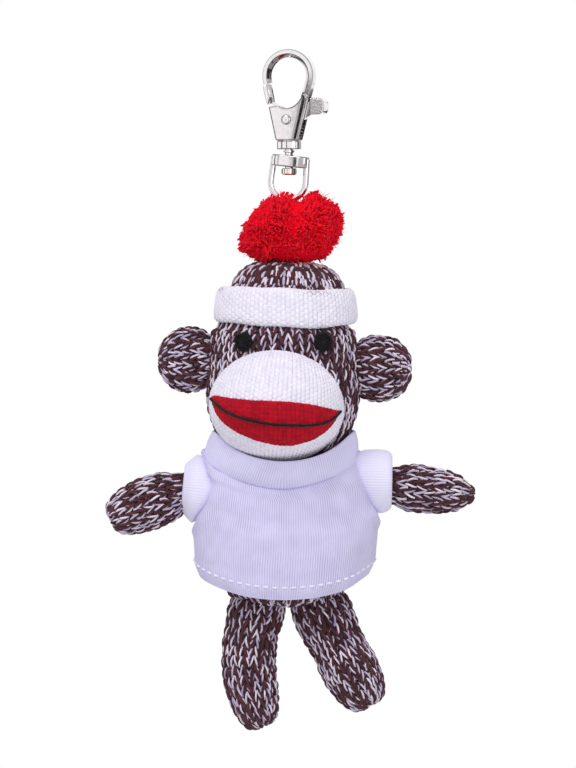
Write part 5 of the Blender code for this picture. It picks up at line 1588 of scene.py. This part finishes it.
def shirt_surface(u, v):
    """The shirt's outside from its collar seam at v 0 to its hem at v 1. u 0.5 is the chest."""
    u, v = paired(u, v)
    angle = math.pi / 2 + u * math.tau
    across, deep = squared(angle, SHIRT_BOX)
    front = np.sqrt(np.clip(1 - across**2, 0, 1)) * np.sign(deep)
    top, base = seam_height(front), hem_height(front)
    size = share_at(SHIRT_SHARES, v)
    z = top + (base - top) * v
    fold = 0.0
    for turn, high, wide, amount, slope in (
        (0.60, 0.62, 0.05, 0.35, -0.35), (0.66, 0.82, 0.04, -0.4, -0.3), (0.40, 0.64, 0.045, 0.3, 0.35),
        (0.335, 0.84, 0.035, -0.35, 0.3), (0.5, 0.88, 0.05, 0.2, 0.1), (0.46, 0.45, 0.04, 0.15, 0.2),
        (0.1, 0.5, 0.08, 0.4, 0.2), (0.9, 0.55, 0.07, 0.4, -0.2),
    ):
        slant = (u - turn) + (v - high) * slope * 0.4
        fold = fold + amount * np.exp(-((slant / wide) ** 2)) * np.exp(-(((v - high) / 0.2) ** 2))
    fold = fold + 0.3 * v**3 * (np.sin(angle * 4 + 0.6) + 0.7 * np.sin(angle * 7 + 2.0))
    fold = fold - 0.35 * np.exp(-(((v - 1) / 0.025) ** 2))
    x = (SHIRT_HALVES[0] * size + fold) * across + share_at(SHIRT_MIDDLES, v)
    y = (SHIRT_HALVES[1] * size + fold) * deep
    for side, sign in SIDES.items():
        middle, _, _ = SLEEVES[side]
        far = np.hypot(y * 1.05, z - middle[2])
        near = 1 / (1 + np.exp(-(x * sign - 13) * 1.2))
        ridge = 0.75 * np.exp(-(((far - ARMHOLE_FOLD) / 1.3) ** 2)) - 0.2 * np.exp(-(((far - 8.4) / 0.8) ** 2))
        x = x + sign * ridge * near * 0.8
        y = y + np.sign(y) * ridge * near * 0.5
    return np.stack([x, y, z], axis=-1)


def make_shirt():
    shirt = settings("shirt")
    pitch = shirt.rib_pitch / MM
    jersey = jersey_finish("white_jersey", (217, 212, 246), (178, 173, 207), pitch)
    wall = shirt.cloth_wall / MM
    sheet = weave(shirt_surface, True, 192, 96)
    hem_line = 1 - 3.7 / sheet.length

    def double_hem(u, v):
        """The hem is two layers thick, and the running stitches pull a groove into it."""
        layer = 0.22 / (1 + np.exp(-(v - hem_line + 0.012) * 220))
        return layer - 0.22 * np.exp(-(((v - hem_line) * sheet.length / 0.45) ** 2))

    body = cloth("shirt_jersey", sheet, 200, 84, wall, jersey, double_hem)
    holes = []
    for side, sign in SIDES.items():
        holes.append(armhole("armhole_" + side, side, sign))
    uncut = body.data
    body.data = cut(uncut, holes)
    body.data.shade_smooth()
    body.data.set_sharp_from_angle(angle=math.radians(50))
    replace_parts(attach(body, "torso"), "shirt_body")

    collar = make_collar(pitch)
    stitches = make_hem_stitches(sheet, hem_line)
    return collar


def sleeve_frame(side, sign):
    middle, droop, _ = SLEEVES[side]
    heading = np.array((sign * math.cos(droop), 0, -math.sin(droop)))
    return np.array(middle), heading, np.array((0.0, 1.0, 0.0)), np.cross(heading, (0.0, 1.0, 0.0))


def bent_at_shoulder(thing):
    """Bakes the piece's place into its mesh."""
    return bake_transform(thing)


def armhole(name, side, sign):
    """A round bar along the arm that cuts the shirt open just inside the sleeve's seam."""
    middle, heading, _, _ = sleeve_frame(side, sign)
    turn = Vector((0, 0, 1)).rotation_difference(Vector(heading)).to_matrix().to_4x4()
    radius = SLEEVES[side][2][0][1] - 1.0
    bar = drum(name, (0, 0, 0), (radius, radius), 22, sides=96)
    return placed(bar, Matrix.Translation(Vector(middle + heading * 2) * MM) @ turn)


def seam_distances(side, sign, angles, radius):
    """How far along the arm the shirt's surface lies, at these angles round it."""
    middle, heading, across, up = sleeve_frame(side, sign)
    along = np.linspace(-10, 6, 321)
    radial = across * np.cos(angles)[:, None] + up * np.sin(angles)[:, None]
    spots = middle + heading * along[None, :, None] + radial[:, None, :] * radius
    x, y, z = spots[..., 0], spots[..., 1], spots[..., 2]
    front = np.clip(np.abs(y) / 14.2, 0, 1) ** (1 / SHIRT_BOX) * np.sign(y)
    top, base = seam_height(front), hem_height(front)
    share = np.clip((top - z) / (top - base), 0, 1)
    size = share_at(SHIRT_SHARES, share)
    out = (np.abs(x - share_at(SHIRT_MIDDLES, share)) / (SHIRT_HALVES[0] * size)) ** (2 / SHIRT_BOX)
    inside = out + (np.abs(y) / (SHIRT_HALVES[1] * size)) ** (2 / SHIRT_BOX) < 1
    last = inside.shape[1] - 1 - np.argmax(inside[:, ::-1], axis=1)
    found = along[last]
    wrapped = np.concatenate([found[-4:], found, found[:4]])
    return np.convolve(wrapped, np.full(9, 1 / 9), "valid")


def make_collar(pitch):
    """The folded rib band round the neck."""

    def surface(u, v):
        """Up the outside from the seam, over the fold and down the inside."""
        u, v = paired(u, v)
        angle = math.pi / 2 + u * math.tau
        outside = np.clip(v / 0.46, 0, 1)
        inside = np.clip((v - 0.54) / 0.46, 0, 1)
        fold = np.clip((v - 0.46) / 0.08, 0, 1) * math.pi
        share = np.where(v < 0.5, outside, 1 - inside * 0.9)
        across, deep = squared(angle, SHIRT_BOX + (1 - SHIRT_BOX) * share)
        front = np.sqrt(np.clip(1 - across**2, 0, 1)) * np.sign(deep)
        low, high = seam_height(front) - 0.4, collar_height(front)
        flare = share**0.6
        thick = 0.5 * (1 - np.cos(fold)) * 0.9
        swell = np.sin(np.pi * np.clip(share, 0, 1)) * 0.35 * (v < 0.5)
        low_x, low_y = (half * SHIRT_SHARES[0][1] + 0.12 for half in SHIRT_HALVES)
        x = (low_x + (18.1 - low_x) * flare - thick + swell) * across
        y = (low_y + (16.7 - low_y) * flare - thick + swell) * deep
        z = low + (high - low) * share + np.sin(fold) * 0.5
        return np.stack([-1.9 + 0.6 * share + x, y, z], axis=-1)

    rib = jersey_finish("white_rib", (224, 220, 252), (196, 190, 226), pitch, strength=0.3)
    sheet = weave(surface, True, 160, 96)
    collar = cloth("rib_collar", sheet, 200, 48, 0.4, rib)
    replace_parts(collar, "shirt_collar")
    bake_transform(collar)
    return collar


def make_sleeves():
    """Short sleeves, each sewn into its armhole, with a deep folded hem round the arm."""
    pitch = settings("shirt").rib_pitch / MM
    jersey = jersey_finish("sleeve_jersey", (234, 231, 255), (220, 215, 243), pitch, strength=0.12)
    for side, sign in SIDES.items():
        middle, heading, across, up = sleeve_frame(side, sign)
        path = smoothed(resampled(SLEEVES[side][2], 60), 6)
        ring = np.linspace(0, 1, 97)
        seam = seam_distances(side, sign, ring * math.tau, path[0, 1]) - 0.5

        def surface(u, v, path=path, middle=middle, heading=heading, across=across, up=up, seam=seam):
            u, v = paired(u, v)
            place = v * (len(path) - 1)
            along = np.interp(place, np.arange(len(path)), path[:, 0])
            radius = np.interp(place, np.arange(len(path)), path[:, 1])
            left = np.clip(1 - v / 0.42, 0, 1)
            along = along + (np.interp(u, ring, seam) - path[0, 0]) * left * left * (3 - 2 * left)
            angle = u * math.tau
            radius = radius + 0.1 * np.sin(angle * 3 + along * 0.5) + 0.07 * np.sin(angle * 5)
            return (
                middle + heading * along[..., None] + across * (radius * np.cos(angle))[..., None]
                + up * (radius * np.sin(angle))[..., None]
            )

        sheet = weave(surface, True, 96, 96)
        sleeve = cloth("jersey_sleeve_" + side, sheet, 96, 56, 0.4, jersey)
        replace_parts(sleeve, "sleeve_" + side)
        bent_at_shoulder(sleeve)


def make_hem_stitches(sheet, hem_line):
    """Running stitches of white thread round the bottom hem."""
    shirt = settings("shirt")
    dash, gap = shirt.hem_dash / MM, shirt.hem_gap / MM
    row = int(hem_line * (len(sheet.girths) - 1))
    girth = sheet.girths[row]
    count = round(girth / (dash + gap))
    meshes = []
    for index in range(count):
        u = (index + 0.5) / count + np.linspace(-0.5, 0.5, 7) * dash / girth
        rise = 0.12 - 0.34 * np.abs(np.linspace(-1, 1, 7)) ** 3
        points = lay(sheet, u, np.full(7, hem_line), rise)
        meshes.append(curve_tube("dash", points, 0.3, 2, radii=[0.6, 0.9, 1, 1, 1, 0.9, 0.6]))
    thread = yarn_finish("hem_thread", (236, 232, 252), (246, 243, 255), bump=0.4)
    made = finished("hem_stitches", join("hem_stitches", meshes), [thread])
    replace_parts(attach(made, "torso"), "hem_stitching")
    return made


# Studio


# Distances from the origin, in metres, between which the floor turns plain white to the camera
SHADOW_EDGE = (0.22, 0.32)


def white_share(tree, to_camera):
    """How white a backdrop shows: wholly in reflections and through glass, and by to_camera to the camera."""
    rays = add_node(tree, "ShaderNodeLightPath").outputs
    seen = add_node(tree, "ShaderNodeMath", {0: rays["Is Camera Ray"], 1: to_camera}, operation="MULTIPLY")
    for kind in ("Is Glossy Ray", "Is Transmission Ray"):
        inputs = {0: seen.outputs[0], 1: rays[kind]}
        seen = add_node(tree, "ShaderNodeMath", inputs, operation="MAXIMUM")
    return seen.outputs[0]


def backdrop_finish(name):
    """Pale paper that keeps the shadow under the object, and is plain white further off and in reflections."""
    nodes = Nodes(name)
    if not nodes.fresh:
        return nodes.made
    place = nodes.place()
    far = nodes.add("ShaderNodeVectorMath", {0: place}, operation="LENGTH").outputs["Value"]
    away = nodes.ranged(far, *SHADOW_EDGE, 0.0, 1.0, interpolation_type="SMOOTHSTEP")
    nodes.link(nodes.mixed(nodes.noise(place, 40, 2), (0.8, 0.8, 0.8, 1), (0.84, 0.84, 0.84, 1)), "Base Color")
    nodes.fix(Roughness=0.9, Specular_IOR_Level=0.1)
    glow = nodes.add("ShaderNodeEmission", {"Color": (1, 1, 1, 1), "Strength": 1.0})
    shown = nodes.add("ShaderNodeMixShader", {
        0: white_share(nodes.tree, away), 1: nodes.shader.outputs["BSDF"], 2: glow.outputs["Emission"],
    })
    output = nodes.tree.nodes["Material Output"]
    nodes.tree.links.new(shown.outputs["Shader"], output.inputs["Surface"])
    return nodes.made


def card_finish(name, level):
    nodes = Nodes(name)
    if not nodes.fresh:
        return nodes.made
    nodes.fix(Base_Color=(level, level, level, 1), Roughness=1.0, Specular_IOR_Level=0.0)
    return nodes.made


def add_card(name, centre, size, turn, level):
    """A card that only shows in the metal's reflections."""
    shape = bmesh.new()
    bmesh.ops.create_grid(shape, x_segments=1, y_segments=1, size=0.5)
    for vert in shape.verts:
        flat = Vector((vert.co.x * size[0], vert.co.y * size[1], 0)) * MM
        vert.co = Matrix.Rotation(turn[1], 3, "Z") @ (Matrix.Rotation(turn[0], 3, "X") @ flat) + Vector(centre) * MM
    card = finished(name, mesh_from(shape, name, False), [card_finish(f"card_{level}", level)])
    card.visible_camera = card.visible_diffuse = card.visible_shadow = False
    card.visible_transmission = card.visible_volume_scatter = False


def area_lamp(name, place, aim, size, power):
    lamp = bpy.data.lights.new(name, "AREA")
    lamp.shape = "RECTANGLE"
    lamp.size, lamp.size_y = size
    lamp.energy = power
    thing = linked(name, lamp)
    thing.location = Vector(place)
    thing.rotation_euler = (Vector(aim) - Vector(place)).to_track_quat("-Z", "Y").to_euler()


def make_studio():
    studio = settings("studio")
    floor_z = CAD_LOW.z - studio.floor_drop
    shape = bmesh.new()
    bmesh.ops.create_grid(shape, x_segments=8, y_segments=8, size=2.5)
    bmesh.ops.translate(shape, verts=shape.verts, vec=(0, 0, floor_z))
    floor = finished("studio_floor", mesh_from(shape, "studio_floor", False), [backdrop_finish("pale_paper")])

    world = bpy.data.worlds.new("studio_world")
    bpy.context.scene.world = world
    world.use_nodes = True
    tree = world.node_tree
    tree.nodes.clear()
    fill, plain = (
        add_node(tree, "ShaderNodeBackground", {"Color": (1, 1, 1, 1), "Strength": strength}).outputs[0]
        for strength in (0.62, 1.0)
    )
    mix = add_node(tree, "ShaderNodeMixShader", {0: white_share(tree, 1.0), 1: fill, 2: plain})
    add_node(tree, "ShaderNodeOutputWorld", {"Surface": mix.outputs[0]})

    aim = (0, 0, -0.09)
    area_lamp("key_light", (-0.36, -0.62, 0.8), aim, (0.5, 0.5), 5.4)
    area_lamp("fill_light", (0.6, -0.8, 0.05), aim, (0.6, 0.6), 1.6)

    for name, azimuth, shift, high, width, tall, level in (
        ("behind_right", 146, 22, -18, 44, 60, 0.05), ("behind_low", 146, 13.8, -33, 36, 26, 0.05),
        ("behind_left", -140, 0, -15, 44, 150, 0.05), ("face", -34, 11.2, -17, 14, 34, 0.05),
        ("front_left", -72, 0, -15, 24, 130, 0.06), ("side_right", 84, 0, -15, 40, 130, 0.06),
        ("front_right", 50, 4, -20, 18, 80, 0.1),
    ):
        turn = math.radians(azimuth)
        centre = (
            120 * math.sin(turn) + shift * math.cos(turn), -120 * math.cos(turn) + shift * math.sin(turn), high
        )
        add_card("card_" + name, centre, (width, tall), (math.pi / 2, turn), level)
    add_card("card_low", (0, -60, -90), (120, 24), (math.radians(20), 0), 0.05)
    add_card("card_high", (0, -40, 75), (120, 16), (math.radians(-30), 0), 0.3)

    camera = bpy.data.cameras.new("photo_camera")
    camera.lens = studio.lens
    camera.sensor_width = 36
    camera.clip_end = 20
    thing = linked("photo_camera", camera)
    distance = 192 * MM * studio.lens / camera.sensor_width
    thing.location = (-0.25 * MM, -distance, -81.7 * MM)
    thing.rotation_euler = (math.pi / 2, 0, 0)
    bpy.context.scene.camera = thing
    bpy.context.scene.view_settings.view_transform = "Standard"


# Add-on

OPERATORS = (
    operator("studio", "Studio", "Adds the pale floor, the soft lights and the camera", make_studio),
    operator("clasp", "Clasp", "Builds the snap hook, its lever, rivet, swivel stem and ring", make_clasp),
    operator("loop", "Thread loop", "Builds the loop of thread that carries the doll", make_loop),
    operator("pompom", "Pompom", "Builds the pompom of cut yarn", make_pompom),
    operator("hat", "Hat", "Knits the marled crown and the white cuff of the hat", make_hat),
    operator("head", "Head", "Knits the marled head", make_head),
    operator("ears", "Ears", "Knits the two ears", make_ears),
    operator("eyes", "Eyes", "Adds the two felt eyes", make_eyes),
    operator("muzzle", "Muzzle", "Knits the muzzle and lips and draws the mouth in yarn", make_muzzle),
    operator("torso", "Torso", "Knits the torso", make_torso),
    operator("arms", "Arms", "Knits the two arms", make_arms),
    operator("legs", "Legs", "Knits the two legs", make_legs),
    operator("shirt", "Shirt", "Sews the shirt's body, its collar and its hem stitches", make_shirt),
    operator("sleeves", "Sleeves", "Sews the two short sleeves", make_sleeves),
)

GROUPS = {
    "knit": KnitProperties,
    "pompom": PompomProperties,
    "shirt": ShirtProperties,
    "clasp": ClaspProperties,
    "studio": StudioProperties,
}


class DOLL_PT_parts(bpy.types.Panel):
    """Lists the doll's settings and pieces"""

    bl_label = "Sock Monkey"
    bl_idname = "DOLL_PT_parts"
    bl_space_type = "VIEW_3D"
    bl_region_type = "UI"
    bl_category = "Sock Monkey"

    def draw(self, context):
        for name, group in GROUPS.items():
            box = self.layout.box()
            box.label(text=name.capitalize())
            for key in group.__annotations__:
                box.prop(settings(name), key)
        for kind in OPERATORS:
            self.layout.operator(kind.bl_idname)


def register():
    for kind in (*GROUPS.values(), *OPERATORS, DOLL_PT_parts):
        bpy.utils.register_class(kind)
    for name, group in GROUPS.items():
        setattr(bpy.types.Scene, "doll_" + name, bpy.props.PointerProperty(type=group))


def unregister():
    for name in GROUPS:
        delattr(bpy.types.Scene, "doll_" + name)
    for kind in reversed((*GROUPS.values(), *OPERATORS, DOLL_PT_parts)):
        bpy.utils.unregister_class(kind)


def main():
    register()
    for kind in OPERATORS:
        getattr(bpy.ops.doll, kind.bl_idname.split(".")[1])()


if __name__ == "__main__":
    main()
